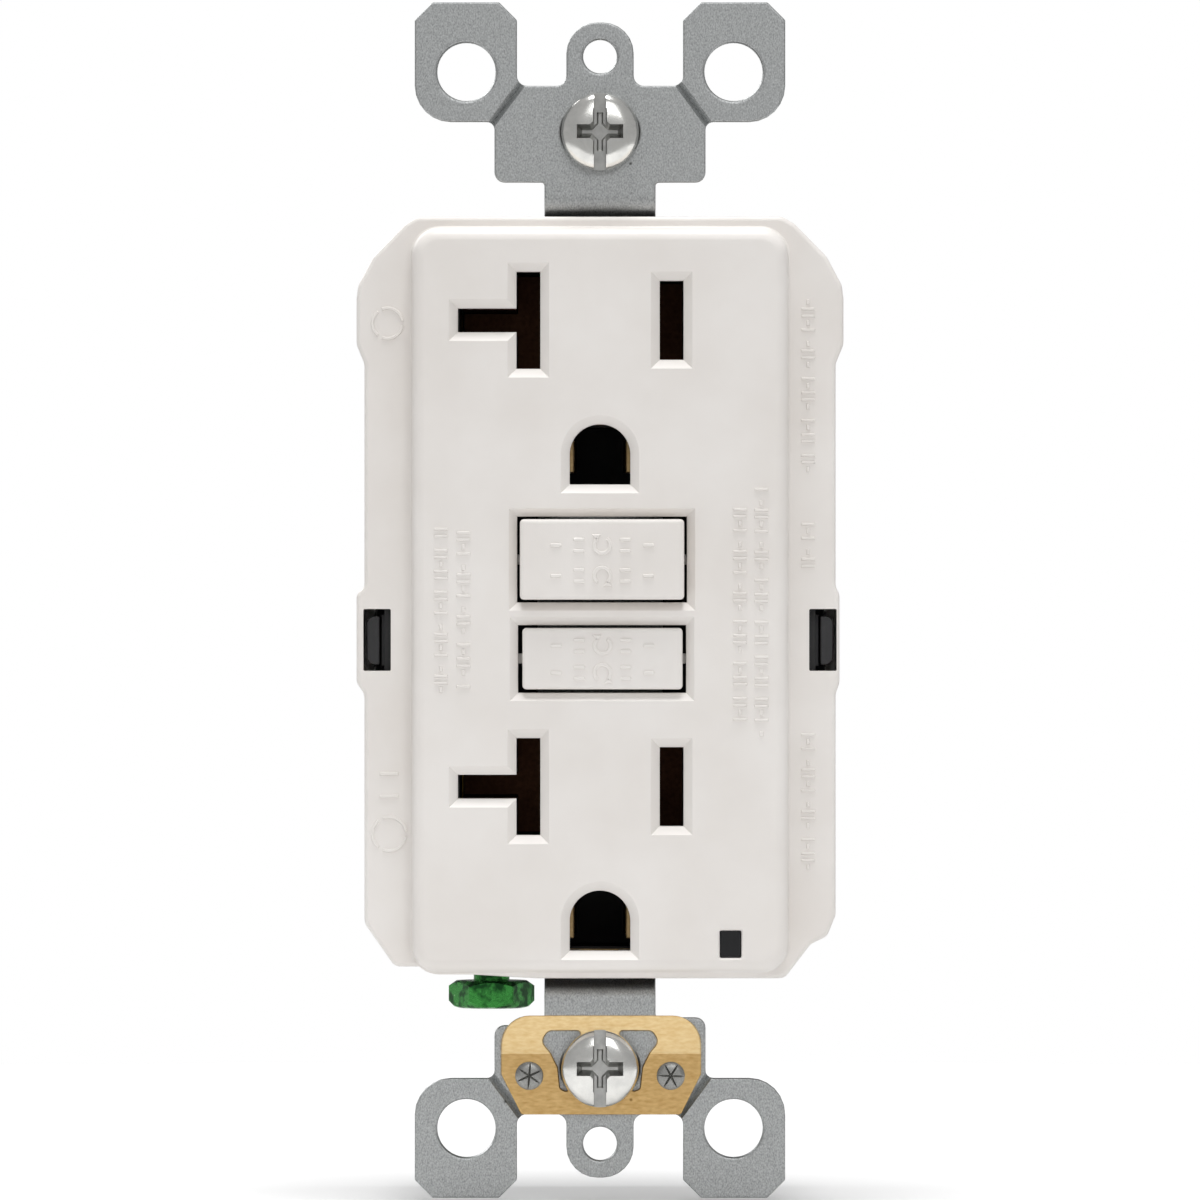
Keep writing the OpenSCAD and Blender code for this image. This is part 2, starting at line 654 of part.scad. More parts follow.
module neutral_contact_strip() color("#b9874a") mirror([1, 0, 0]) {
  contact_strip(4.4) for (z = receptacle_heights)
    block([grip_out - more, grip_out + more], [-10, grip_bottom - contact_t], [z - 1.05, z + 1.05]);
  for (z = receptacle_heights) {
    for (edge = [-1.65, 1.05])
      block([grip_out + contact_t, crossbar_x - 0.3], [leaf_front, grip_bottom], [z + edge, z + edge + contact_t]);
    block([grip_out, crossbar_x - 0.3], [grip_bottom - contact_t, grip_bottom], [z - 1.65, z + 1.65]);
  }
}

module fixed_contact_rivets() color("#d9d9d6") both_sides()
  at(arm_x, reset_z) bar_y(3.2, [grip_bottom, grip_bottom + 1]);

// ---- contact arms ----

module contact_arm() block([arm_x - 1.8, arm_x + 1.8], arm_y, arm_z);
module hot_contact_arm() color("#c08a4d") contact_arm();
module neutral_contact_arm() color("#c08a4d") mirror([1, 0, 0]) contact_arm();
module moving_contact() at(arm_x, reset_z) bar_y(3, [arm_y[0] - 0.9, arm_y[0]]);
module hot_moving_contact() color("#d9d9d6") moving_contact();
module neutral_moving_contact() color("#d9d9d6") mirror([1, 0, 0]) moving_contact();

// ---- latch ----

module latch_lifter() color("#d8d2c4") difference() {
  union() {
    block([-6.2, 6.2], lifter_y, lifter_z);
    both_sides() block([6, arm_x + 1.6], [arm_y[1] + 0.25, lifter_y[1]], [reset_z - 1.6, reset_z + 1.6]);
  }
  block([-3.2, 3.2], [plate_y[0] - 0.15, plate_y[1] + 0.15], [lifter_z[0] - more, 8]);
  at(0, reset_z) bar_y(pin_head_d + 2 * free_gap + 0.2, [lifter_y[0] - more, lifter_y[1] + more]);
  both_sides() at(guide_x, reset_z) bar_y(1.8 + 2 * running, [lifter_y[0] - more, lifter_y[1] + more]);
}

module lifter_spring() color("#c8cacb") at(0, reset_z) tube_y(5.2, 4.4, [12.2, lifter_y[0]]);

module latch_plate() color("#a9abac") difference() {
  block([-3, 3], plate_y, [-2.2, latch_top]);
  at(0, reset_z) bar_y(pin_head_d + 0.4, [plate_y[0] - more, plate_y[1] + more]);
}

module latch_spring() color("#c8cacb") block([-1.1, 1.1], plate_y, [latch_top, 8]);

// ---- solenoid ----

module solenoid_parts() translate([0, solenoid_y, 0]) children();

module solenoid_bobbin() color("#efe9d6") solenoid_parts() difference() {
  union() {
    bar_z(plunger_d + 1.2, solenoid_z);
    bar_z(winding_d + 0.4, [solenoid_z[0], solenoid_z[0] + 0.8]);
    bar_z(winding_d + 0.4, [solenoid_z[1] - 0.8, solenoid_z[1]]);
  }
  bar_z(plunger_d + 2 * running, [solenoid_z[0] - more, solenoid_z[1] + more]);
}

module solenoid_winding() color("#9c5b2c") solenoid_parts()
  tube_z(winding_d, plunger_d + 1.2, [solenoid_z[0] + 0.8, solenoid_z[1] - 0.8]);

module solenoid_frame() color("#9fa2a4") {
  ends = [[solenoid_z[0] - 0.9, solenoid_z[0]], [solenoid_z[1], solenoid_z[1] + 0.9]];
  difference() {
    union() {
      for (z = ends) block([-4.2, 4.2], [solenoid_y - 4.1, board_y], z);
    }
    translate([0, solenoid_y, 0]) bar_z(plunger_d + 2 * free_gap, [ends[1][0] - more, ends[1][1] + more]);
  }
  for (side = [-1, 1]) block([side * 4.2 - 0.4 - side * 0.4, side * 4.2 + 0.4 - side * 0.4],
    [solenoid_y + 3, board_y], [ends[0][0], ends[1][1]]);
}

module solenoid_plunger() color("#a9abac") {
  solenoid_parts() bar_z(plunger_d, [solenoid_z[0] + 3, pusher_z[0]]);
  block([-2, 2], [plate_y[0] - lifter_travel - 0.4, solenoid_y + 1.4], pusher_z);
}

module plunger_spring() color("#c8cacb") solenoid_parts() tube_z(6, plunger_d + 0.4, [solenoid_z[1] + 0.9, pusher_z[0]]);

// ---- sense transformers ----

core_stack = [[14.4, 17.4], [18.4, 21.4]];
module ring(d, bore, y) at(0, transformer_z) tube_y(d, bore, y);
module sense_cores() color("#5b5f63") for (y = core_stack) ring(transformer_d - 1.4, 7.4, [y[0] + 0.7, y[1] - 0.7]);
module sense_windings() color("#b5682f") for (y = core_stack) difference() {
  ring(transformer_d, 6, y);
  ring(transformer_d - 1.4, 7.4, [y[0] + 0.7, y[1] - 0.7]);
}
module transformer_holder() color("#e9e3d2") {
  ring(transformer_d + 1.4, transformer_d + 0.2, [14.1, board_y]);
  ring(transformer_d + 1, 6, [core_stack[0][1], core_stack[1][0]]);
  ring(transformer_d + 1, 6, [core_stack[1][1], board_y]);
}
module sense_conductors() color("#c08a4d") both_sides() at(1.6, transformer_z) {
  bar_y(1.8, [14.2, board_y]);
  bar_y(2.6, [13.7, 14.2]);
}

// ---- terminals ----

module terminal_plate() difference() {
  translate([0, terminal_y, terminal_z]) block([side_x, side_x + terminal_t], [-4.9, 4.1], [-4.2, 4.2]);
  translate([0, terminal_y, terminal_z])
    bar_x(terminal_screw_d + 2 * running, [side_x - more, side_x + terminal_t + more]);
}

// The load plates fold in behind the contact strips
module load_terminal_plates() color("#c39a4e") both_sides() {
  terminal_plate();
  block([grip_out, side_x + terminal_t], [grip_bottom, grip_bottom + contact_t], [terminal_z - 2, terminal_z + 2]);
}

// The line plates stand on the circuit board and carry the arms
module line_terminal_plates() color("#c39a4e") both_sides() {
  mirror([0, 0, 1]) terminal_plate();
  block([side_x, side_x + terminal_t], [terminal_y + 4, board_y], [-terminal_z - 1.5, -terminal_z + 1.5]);
  block([arm_x - 1.8, side_x + terminal_t], [17.3, 18.1], [-terminal_z, -14.4]);
}

module clamp_plate() translate([0, terminal_y, terminal_z]) difference() {
  block([clamp_x, clamp_x + clamp_t], [-4.2, 3.8], [-4, 4]);
  bar_x(terminal_screw_d + 2 * fit, [clamp_x - more, clamp_x + clamp_t + more]);
}

module terminal_screw() translate([0, terminal_y, terminal_z]) {
  difference() {
    bar_x(terminal_head_d, [head_x, head_x + 2.2]);
    block([head_x + 1.2, head_x + 4], [-0.6, 0.6], [-5, 5]);
    block([head_x + 1.2, head_x + 4], [-1.9, 1.9], [-0.5, 0.5]);
  }
  bar_x(terminal_screw_d, [shank_end, head_x]);
}

module clamp_plate_load_hot() color("#c7a866") clamp_plate();
module clamp_plate_load_neutral() color("#b9bbbc") mirror([1, 0, 0]) clamp_plate();
module clamp_plate_line_hot() color("#c7a866") mirror([0, 0, 1]) clamp_plate();
module clamp_plate_line_neutral() color("#b9bbbc") mirror([0, 0, 1]) mirror([1, 0, 0]) clamp_plate();
module terminal_screw_load_hot() color("#c9a04a") terminal_screw();
module terminal_screw_load_neutral() color("#c3c5c6") mirror([1, 0, 0]) terminal_screw();
module terminal_screw_line_hot() color("#c9a04a") mirror([0, 0, 1]) terminal_screw();
module terminal_screw_line_neutral() color("#c3c5c6") mirror([0, 0, 1]) mirror([1, 0, 0]) terminal_screw();

// ---- electronics ----

module circuit_board() color("#2e6b3d") difference() {
  slab([board_y, board_y + board_t]) square([36, 62.4], center = true);
  both_sides() both_ends() {
    block([12.7, 20], [board_y - more, 30], [25.3, 40]);
    block([side_x + terminal_t + fit, 20], [board_y - more, 30], [terminal_z - recess_z - 0.2, 40]);
  }
}

// A part that stands on the board, with straight leads down to it
module leaded(x, z, reach, leads) {
  children();
  for (p = leads) at(x + p[0], z + p[1]) bar_y(0.6, [reach, board_y]);
}

module indicator_led() color("#d8d8d2") at(led[0], led[1] + 0.2) {
  bar_y(1.9, [18.2, board_y - 0.6]);
  bar_y(2, [board_y - 0.6, board_y]);
}

module control_chip() color("#26272a") {
  block([7.4, 11.4], [20.9, 22.2], [-10.5, -5.5]);
  for (i = [0:3]) for (x = [6.6, 11.4]) block([x, x + 0.8], [21.7, board_y], [-10.1 + 1.27 * i, -9.7 + 1.27 * i]);
}

module thyristor() color("#26272a") leaded(-9.6, -24.6, 21, [[-1.27, 0], [0, 0], [1.27, 0]])
  at(-9.6, -24.6) difference() {
    bar_y(4.8, [16.6, 21]);
    block([-3, 3], [16, 22], [1.3, 3]);
  }

module varistor() color("#2f62a8") leaded(-11.5, 12.6, 21, [[-2.5, 0], [2.5, 0]]) at(-11.5, 12.6) bar_y(7.6, [17.8, 21.2]);

module film_capacitor() color("#c4472e") leaded(11.6, 12.2, 21.6, [[0, -2.5], [0, 2.5]])
  block([9.2, 14], [17.6, 21.6], [8.6, 15.8]);

module electrolytic_capacitor() color("#2b3550") leaded(10.2, 21.2, 20, [[-1, 0], [1, 0]])
  translate([10.2, 19.9, 0]) bar_z(4.4, [21.2, 28.4]);

module axial_part(x, z, d) {
  translate([x, board_y - d / 2 - 0.2, z]) bar_x(d, [-2.2, 2.2]);
  for (side = [-1, 1]) at(x + side * 2, z) bar_y(0.6, [board_y - d / 2, board_y]);
}
module resistors_and_diodes() color("#cdb58a") {
  for (i = [0:2]) axial_part(-11, 20 + 2.6 * i, 1.7);
  for (i = [0:3]) axial_part(-9.4, -12.8 + 2.8 * i, 2);
}

// ---- rear housing ----

module wire_entry(z) at(16.45, z) slab([recess_y - more, housing_rear + more]) oval(2.4, 1.8);

module rear_housing() color("#37373a") difference() {
  union() {
    difference() {
      slab([shell_front, housing_rear]) cut_rect(housing_w, housing_h, housing_cut);
      slab([shell_front - more, housing_rear - 1.8])
        cut_rect(housing_w - 2 * housing_wall, housing_h - 2 * housing_wall, housing_cut - 0.5);
      both_sides() both_ends()
        block([side_x, 30], [shell_front - more, recess_y], [terminal_z - recess_z, terminal_z + recess_z]);
    }
    both_sides() both_ends() {
      at(boss_x, boss_z) bar_y(boss_d, [shell_front, housing_rear]);
      block([side_x + terminal_t + 2 * fit, housing_w / 2 - 0.4], [recess_y, housing_rear - more],
        [terminal_z - recess_z, terminal_z + recess_z]);
    }
    // Snap hooks that reach into the cover's side tabs
    both_sides() run_z([window_z[0] + 0.4, window_z[1] - 0.4]) polygon([
      [housing_w / 2 - 1.1, 5.7], [hw + 0.05, 5.7], [hw + 0.05, 6.3], [housing_w / 2 - 0.4, 7.2], [housing_w / 2 - 1.1, 7.2]
    ]);
  }
  both_sides() {
    // The side tabs lie in shallow recesses, open around the hooks
    difference() {
      block([housing_w / 2 - 0.5, 30], [shell_front - more, tab_rear + 0.3], [tab_z[0] - 0.3, tab_z[1] + 0.3]);
      block([0, 30], [5.6, 7.3], [window_z[0] + 0.3, window_z[1] - 0.3]);
    }
    both_ends() {
      at(boss_x, boss_z) {
        bar_y(assembly_d + 0.4, [0, 30]);
        bar_y(4.6, [housing_rear - 2, 30]);
      }
      for (z = [-2.6, 2.6]) wire_entry(terminal_z + z);
    }
  }
  // Notches for the strap and for the ground tab
  block([-5.4, 5.4], [0, 5.3], [-40, 40]);
  block([-ground_screw_x - 3.8, -5.9], [0, 9.8], [-40, -31]);
}

module assembly_screws() color("#b9bbbc") both_sides() both_ends() at(boss_x, boss_z) difference() {
  union() {
    bar_y(assembly_d, [0, housing_rear - 1.9]);
    bar_y(4.3, [housing_rear - 1.9, housing_rear - 0.2]);
  }
  block([-1.4, 1.4], [housing_rear - 1, 30], [-0.35, 0.35]);
  block([-0.35, 0.35], [housing_rear - 1, 30], [-1.4, 1.4]);
}

front_cover();
light_pipe();
reset_button();
reset_pin();
reset_spring();
test_button();
test_spring();
test_contact();
mounting_strap();
self_ground_clip();
clip_rivets();
box_screw_upper();
box_screw_lower();
retaining_washers();
ground_screw();
ground_contact_upper();
ground_contact_lower();
ground_contact_rivets();
middle_frame();
hot_contact_strip();
neutral_contact_strip();
fixed_contact_rivets();
hot_contact_arm();
neutral_contact_arm();
hot_moving_contact();
neutral_moving_contact();
latch_lifter();
lifter_spring();
latch_plate();
latch_spring();
solenoid_bobbin();
solenoid_winding();
solenoid_frame();
solenoid_plunger();
plunger_spring();
sense_cores();
sense_windings();
transformer_holder();
sense_conductors();
line_terminal_plates();
load_terminal_plates();
clamp_plate_line_hot();
clamp_plate_line_neutral();
clamp_plate_load_hot();
clamp_plate_load_neutral();
terminal_screw_line_hot();
terminal_screw_line_neutral();
terminal_screw_load_hot();
terminal_screw_load_neutral();
circuit_board();
indicator_led();
control_chip();
thyristor();
varistor();
film_capacitor();
electrolytic_capacitor();
resistors_and_diodes();
rear_housing();
assembly_screws();
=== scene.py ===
"""Visual model of a ground-fault outlet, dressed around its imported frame."""

from __future__ import annotations

import json
import logging
import math
import sys
from dataclasses import dataclass, field
from enum import Enum
from typing import Sequence

import bmesh
import bpy
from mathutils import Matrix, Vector

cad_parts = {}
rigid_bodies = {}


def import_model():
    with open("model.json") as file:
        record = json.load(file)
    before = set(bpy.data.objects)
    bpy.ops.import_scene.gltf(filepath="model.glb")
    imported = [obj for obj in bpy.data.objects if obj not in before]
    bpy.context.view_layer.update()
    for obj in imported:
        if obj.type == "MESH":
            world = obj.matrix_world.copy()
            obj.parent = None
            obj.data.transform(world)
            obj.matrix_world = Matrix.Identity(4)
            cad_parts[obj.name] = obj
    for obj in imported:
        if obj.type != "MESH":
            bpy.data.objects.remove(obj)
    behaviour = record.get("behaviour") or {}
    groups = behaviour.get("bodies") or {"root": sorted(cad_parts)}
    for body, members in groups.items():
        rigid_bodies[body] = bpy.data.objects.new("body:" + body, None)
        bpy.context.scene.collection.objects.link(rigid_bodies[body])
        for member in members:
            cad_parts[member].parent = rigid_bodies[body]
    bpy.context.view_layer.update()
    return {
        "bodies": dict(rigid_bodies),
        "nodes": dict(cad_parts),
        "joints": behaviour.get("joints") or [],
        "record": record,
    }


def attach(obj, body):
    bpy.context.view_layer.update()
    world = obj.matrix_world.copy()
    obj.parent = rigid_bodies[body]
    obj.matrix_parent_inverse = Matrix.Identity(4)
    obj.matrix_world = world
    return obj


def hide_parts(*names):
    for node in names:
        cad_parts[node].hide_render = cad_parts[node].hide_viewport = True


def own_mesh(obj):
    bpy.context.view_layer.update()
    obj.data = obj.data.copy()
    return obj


LOG = logging.getLogger("outlet")
MM = 0.001
WELD_GAP = 0.002  # millimetres: points of a frame node closer than this are one
FLAT_ANGLE = 0.5  # degrees: faces that turn less than this are one flat face

Point = tuple[float, float]
Outline = list[Point]
Step = tuple[float, float]


class Axis(Enum):
    """The direction that a shape's outline is swept along."""

    X = "x"
    Y = "y"
    Z = "z"

    def place(self, u: float, v: float, w: float) -> Vector:
        """Turns an outline point and a depth, in millimetres, into a point in metres.

        Args:
            u: First coordinate in the outline's plane.
            v: Second coordinate in the outline's plane.
            w: Distance along the axis.

        Returns:
            The point in the frame.
        """
        if self is Axis.X:
            return Vector((w, u, v)) * MM
        if self is Axis.Y:
            return Vector((u, w, v)) * MM
        return Vector((u, v, w)) * MM


class Carving(Enum):
    """How one mesh is combined with another."""

    CUT = "DIFFERENCE"
    JOIN = "UNION"
    SHARE = "INTERSECT"


class Surface(Enum):
    """How a surface was made, which sets the pattern that it shows."""

    MOULDED = "moulded"
    ROLLED = "rolled"
    STAMPED = "stamped"
    PLATED = "plated"
    DYED = "dyed"
    DRAWN = "drawn"
    PRINTED = "printed"


# ---- outlines ----


def filleted(corners: Sequence[tuple[float, float, float]], steps: int = 5) -> Outline:
    """Rounds the corners of a polygon.

    Args:
        corners: Each corner's two coordinates and its radius.
        steps: Number of segments in each rounded corner.

    Returns:
        The rounded outline.
    """
    outline: Outline = []
    count = len(corners)
    for i, (x, z, radius) in enumerate(corners):
        here = Vector((x, z))
        before = Vector(corners[i - 1][:2]) - here
        after = Vector(corners[(i + 1) % count][:2]) - here
        half = before.angle(after) / 2
        if radius <= 0 or abs(half - math.pi / 2) < 0.01:
            outline.append((x, z))
            continue
        reach = min(radius / math.tan(half), 0.49 * before.length, 0.49 * after.length)
        real = reach * math.tan(half)
        centre = here + (before.normalized() + after.normalized()).normalized() * (real / math.sin(half))
        first = here + before.normalized() * reach - centre
        last = here + after.normalized() * reach - centre
        start = math.atan2(first.y, first.x)
        turn = math.atan2(last.y, last.x) - start
        turn = (turn + math.pi) % (2 * math.pi) - math.pi
        for k in range(steps + 1):
            angle = start + turn * k / steps
            outline.append((centre.x + real * math.cos(angle), centre.y + real * math.sin(angle)))
    return outline


def box_outline(x: Point, z: Point, radius: float = 0.0, steps: int = 5) -> Outline:
    """Draws a rectangle over two ranges, with rounded corners.

    Args:
        x: Where it starts and ends across.
        z: Where it starts and ends upwards.
        radius: Radius of its corners.
        steps: Number of segments in each corner.

    Returns:
        The outline.
    """
    corners = [(x[0], z[0], radius), (x[1], z[0], radius), (x[1], z[1], radius), (x[0], z[1], radius)]
    return filleted(corners, steps)


def circle_outline(x: float, z: float, radius: float, steps: int = 48) -> Outline:
    """Draws a circle.

    Args:
        x: The centre's first coordinate.
        z: The centre's second coordinate.
        radius: Its radius.
        steps: Number of segments round it.

    Returns:
        The outline.
    """
    turn = 2 * math.pi / steps
    return [(x + radius * math.cos(k * turn), z + radius * math.sin(k * turn)) for k in range(steps)]


def arc_outline(x: float, z: float, radius: float, width: float, start: float, end: float) -> Outline:
    """Draws a band along an arc, its angles in degrees.

    Args:
        x: The centre's first coordinate.
        z: The centre's second coordinate.
        radius: Radius to the middle of the band.
        width: Width of the band.
        start: Angle where it starts.
        end: Angle where it ends.

    Returns:
        The outline.
    """
    angles = [math.radians(start + (end - start) * k / 14) for k in range(15)]
    outer = [(x + (radius + width / 2) * math.cos(a), z + (radius + width / 2) * math.sin(a)) for a in angles]
    inner = [(x + (radius - width / 2) * math.cos(a), z + (radius - width / 2) * math.sin(a)) for a in angles]
    return outer + inner[::-1]


def oval_outline(x: float, z: float, width: float, height: float) -> Outline:
    """Draws a slot with round ends, across.

    Args:
        x: The centre's first coordinate.
        z: The centre's second coordinate.
        width: Its length across.
        height: Its height.

    Returns:
        The outline.
    """
    return box_outline((x - width / 2, x + width / 2), (z - height / 2, z + height / 2), height / 2 - 0.001, 12)


def signed_area(outline: Outline) -> float:
    """Measures an outline's area, positive when it runs counter-clockwise.

    Args:
        outline: The outline.

    Returns:
        The area in square millimetres.
    """
    following = outline[1:] + outline[:1]
    return sum(a[0] * b[1] - b[0] * a[1] for a, b in zip(outline, following)) / 2


def grown(outline: Outline, distance: float) -> Outline:
    """Moves an outline outwards by a distance, keeping its number of points.

    Args:
        outline: A counter-clockwise outline.
        distance: How far to move, negative for inwards.

    Returns:
        The moved outline.
    """
    if not distance:
        return list(outline)
    result: Outline = []
    count = len(outline)
    for i, point in enumerate(outline):
        here = Vector(point)
        before = (here - Vector(outline[i - 1])).normalized()
        after = (Vector(outline[(i + 1) % count]) - here).normalized()
        normal_a, normal_b = Vector((before.y, -before.x)), Vector((after.y, -after.x))
        mitre = (normal_a + normal_b) / max(1 + normal_a.dot(normal_b), 0.2)
        result.append((point[0] + mitre.x * distance, point[1] + mitre.y * distance))
    return result


# ---- meshes ----


class Solid:
    """A closed mesh put together from swept, turned and coiled shapes."""

    def __init__(self, axis: Axis = Axis.Y) -> None:
        """Starts an empty solid.

        Args:
            axis: The direction that its outlines are swept along.
        """
        self.axis = axis
        self.points: list[Vector] = []
        self.faces: list[list[int]] = []

    def ring(self, outline: Outline, depth: float) -> list[int]:
        """Adds an outline's points at a depth and returns their numbers.

        Args:
            outline: The outline.
            depth: Where it lies along the axis.

        Returns:
            The points' numbers.
        """
        first = len(self.points)
        self.points += [self.axis.place(u, v, depth) for u, v in outline]
        return list(range(first, len(self.points)))

    def band(self, one: list[int], two: list[int]) -> None:
        """Joins two rings with the same number of points by a wall.

        Args:
            one: The first ring's points.
            two: The second ring's points.
        """
        count = len(one)
        for i in range(count):
            j = (i + 1) % count
            self.faces.append([one[i], one[j], two[j], two[i]])

    def loft(self, outline: Outline, steps: Sequence[Step]) -> Solid:
        """Sweeps an outline through steps of offset and depth, closed at both ends.

        Args:
            outline: The outline at offset zero.
            steps: Pairs of offset and depth.

        Returns:
            This solid, so that calls can be chained.
        """
        if signed_area(outline) < 0:
            outline = outline[::-1]
        rings = [self.ring(grown(outline, offset), depth) for offset, depth in steps]
        for one, two in zip(rings, rings[1:]):
            self.band(one, two)
        self.faces += [rings[0], rings[-1][::-1]]
        return self

    def lathe(self, centre: Point, profile: Sequence[Step], around: int = 48) -> Solid:
        """Turns a profile of radius and depth about an axis through a centre.

        Args:
            centre: Where the axis crosses the outline's plane.
            profile: Pairs of radius and depth.
            around: Number of segments round the axis.

        Returns:
            This solid.
        """
        rings = [self.ring(circle_outline(*centre, max(radius, 0.01), around), depth) for radius, depth in profile]
        for one, two in zip(rings, rings[1:]):
            self.band(one, two)
        self.faces += [rings[0], rings[-1][::-1]]
        return self

    def thread(self, centre: Point, radius: float, depths: Point, pitch: float, taper: float = 1.0) -> Solid:
        """Adds a threaded shank with a single-start vee thread.

        Args:
            centre: Where the axis crosses the outline's plane.
            radius: The thread's outer radius.
            depths: Where the thread starts and ends.
            pitch: Distance between turns.
            taper: Length of the narrowed point at the far end.

        Returns:
            This solid.
        """
        around, per_turn = 30, 7
        length = depths[1] - depths[0]
        sign = 1 if length > 0 else -1
        rows = int(abs(length) / pitch * per_turn)
        height = 0.61 * pitch
        rings = []
        for row in range(rows + 1):
            depth = abs(length) * row / rows
            left = abs(length) - depth
            narrowing = 0.45 * radius * max(0.0, 1 - left / taper)
            outline = []
            for k in range(around):
                angle = 2 * math.pi * k / around
                phase = (depth / pitch - sign * k / around) % 1.0
                cut = height * min(1.0, max(0.0, abs(phase - 0.5) * 2 - 0.12) / 0.76)
                reach = max(radius - cut * min(1.0, depth / (0.6 * pitch)) - narrowing, 0.3 * radius)
                outline.append((centre[0] + reach * math.cos(angle), centre[1] + reach * math.sin(angle)))
            rings.append(self.ring(outline, depths[0] + sign * depth))
        for one, two in zip(rings, rings[1:]):
            self.band(one, two)
        self.faces += [rings[0], rings[-1][::-1]]
        return self

    def coil(self, centre: Point, radius: float, wire: float, depths: Point, turns: float) -> Solid:
        """Adds a compression spring with closed ends.

        Args:
            centre: Where the axis crosses the outline's plane.
            radius: Radius to the middle of the wire.
            wire: Diameter of the wire.
            depths: The spring's two ends, over the wire.
            turns: Number of turns, the two closed ones included.

        Returns:
            This solid.
        """
        per_turn, around = 22, 8
        count = int(turns * per_turn)
        low, high = depths[0] + wire / 2, depths[1] - wire / 2
        open_turns = turns - 2
        pitch = (high - low - 2 * wire) / open_turns
        rings = []
        for i in range(count + 1):
            at_turn = turns * i / count
            rise = wire * min(at_turn, 1) + pitch * min(max(at_turn - 1, 0), open_turns)
            rise += wire * max(at_turn - 1 - open_turns, 0)
            angle = 2 * math.pi * at_turn
            first = len(self.points)
            for k in range(around):
                roll = 2 * math.pi * k / around
                reach = radius + wire / 2 * math.cos(roll)
                u = centre[0] + reach * math.cos(angle)
                v = centre[1] + reach * math.sin(angle)
                self.points.append(self.axis.place(u, v, low + rise + wire / 2 * math.sin(roll)))
            rings.append(list(range(first, first + around)))
        for one, two in zip(rings, rings[1:]):
            self.band(one, two)
        self.faces += [rings[0], rings[-1][::-1]]
        return self

    def score(self, start: Point, end: Point, width: float, depths: Point) -> Solid:
        """Adds a vee-shaped wedge along a line, its wide side at the first depth.

        Args:
            start: Where the line starts.
            end: Where it ends.
            width: Width of the wide side.
            depths: Depth of the wide side and of the edge.

        Returns:
            This solid.
        """
        along = (Vector(end) - Vector(start)).normalized()
        side = Vector((along.y, -along.x)) * width / 2
        first = len(self.points)
        for end_point in (Vector(start), Vector(end)):
            for place, depth in ((end_point + side, depths[0]), (end_point - side, depths[0]), (end_point, depths[1])):
                self.points.append(self.axis.place(place.x, place.y, depth))
        a, b, c, d, e, f = range(first, first + 6)
        self.faces += [[a, b, c], [f, e, d], [a, d, e, b], [b, e, f, c], [c, f, d, a]]
        return self

    def mesh(self, name: str) -> bpy.types.Mesh:
        """Makes the Blender mesh, its faces turned outwards.

        Args:
            name: The mesh's name.

        Returns:
            The mesh.
        """
        made = bpy.data.meshes.new(name)
        made.from_pydata(self.points, [], self.faces)
        work = bmesh.new()
        work.from_mesh(made)
        bmesh.ops.recalc_face_normals(work, faces=work.faces)
        work.to_mesh(made)
        work.free()
        return made


def carved(base: bpy.types.Mesh, tool: bpy.types.Mesh, carving: Carving = Carving.CUT) -> bpy.types.Mesh:
    """Cuts one mesh out of another, or joins the two.

    Args:
        base: The mesh that is worked on.
        tool: The mesh that cuts it or is joined to it.
        carving: Which of the two.

    Returns:
        The new mesh.
    """
    scene = bpy.context.scene
    owners = [bpy.data.objects.new("carving", mesh) for mesh in (base, tool)]
    for owner in owners:
        scene.collection.objects.link(owner)
    modifier = owners[0].modifiers.new("carving", "BOOLEAN")
    modifier.operation = carving.value
    modifier.solver = "EXACT"
    modifier.object = owners[1]
    bpy.context.view_layer.update()
    graph = bpy.context.evaluated_depsgraph_get()
    result = bpy.data.meshes.new_from_object(owners[0].evaluated_get(graph))
    for owner in owners:
        bpy.data.objects.remove(owner)
    if len(result.polygons) < 0.3 * len(base.polygons):
        LOG.warning("carving lost faces: %s with %s", base.name, tool.name)
        return combined([base, tool], base.name) if carving is Carving.JOIN else base
    return result


def combined(meshes: Sequence[bpy.types.Mesh], name: str) -> bpy.types.Mesh:
    """Puts several meshes into one, side by side.

    Args:
        meshes: The meshes.
        name: The new mesh's name.

    Returns:
        The new mesh.
    """
    work = bmesh.new()
    for mesh in meshes:
        work.from_mesh(mesh)
    result = bpy.data.meshes.new(name)
    work.to_mesh(result)
    work.free()
    return result


# ---- finishes ----


def linear(hex_colour: str) -> tuple[float, float, float, float]:
    """Turns an sRGB hex colour into linear red, green, blue and alpha.

    Args:
        hex_colour: The colour as six hexadecimal digits after a hash sign.

    Returns:
        Red, green, blue and alpha, linear.
    """
    channels = [int(hex_colour[i : i + 2], 16) / 255 for i in (1, 3, 5)]
    red, green, blue = (c / 12.92 if c <= 0.04045 else ((c + 0.055) / 1.055) ** 2.4 for c in channels)
    return red, green, blue, 1.0


def put(tree: bpy.types.NodeTree, kind: str, inputs: dict | None = None, **settings: object) -> bpy.types.Node:
    """Adds a node with its settings and links.

    Args:
        tree: The node tree.
        kind: The node's type.
        inputs: Values or sockets for the node's inputs, by name or number.
        **settings: Values for the node's own properties.

    Returns:
        The node.
    """
    node = tree.nodes.new(kind)
    for key, value in settings.items():
        setattr(node, key, value)
    for key, value in (inputs or {}).items():
        if isinstance(value, bpy.types.NodeSocket):
            tree.links.new(value, node.inputs[key])
        else:
            node.inputs[key].default_value = value
    return node


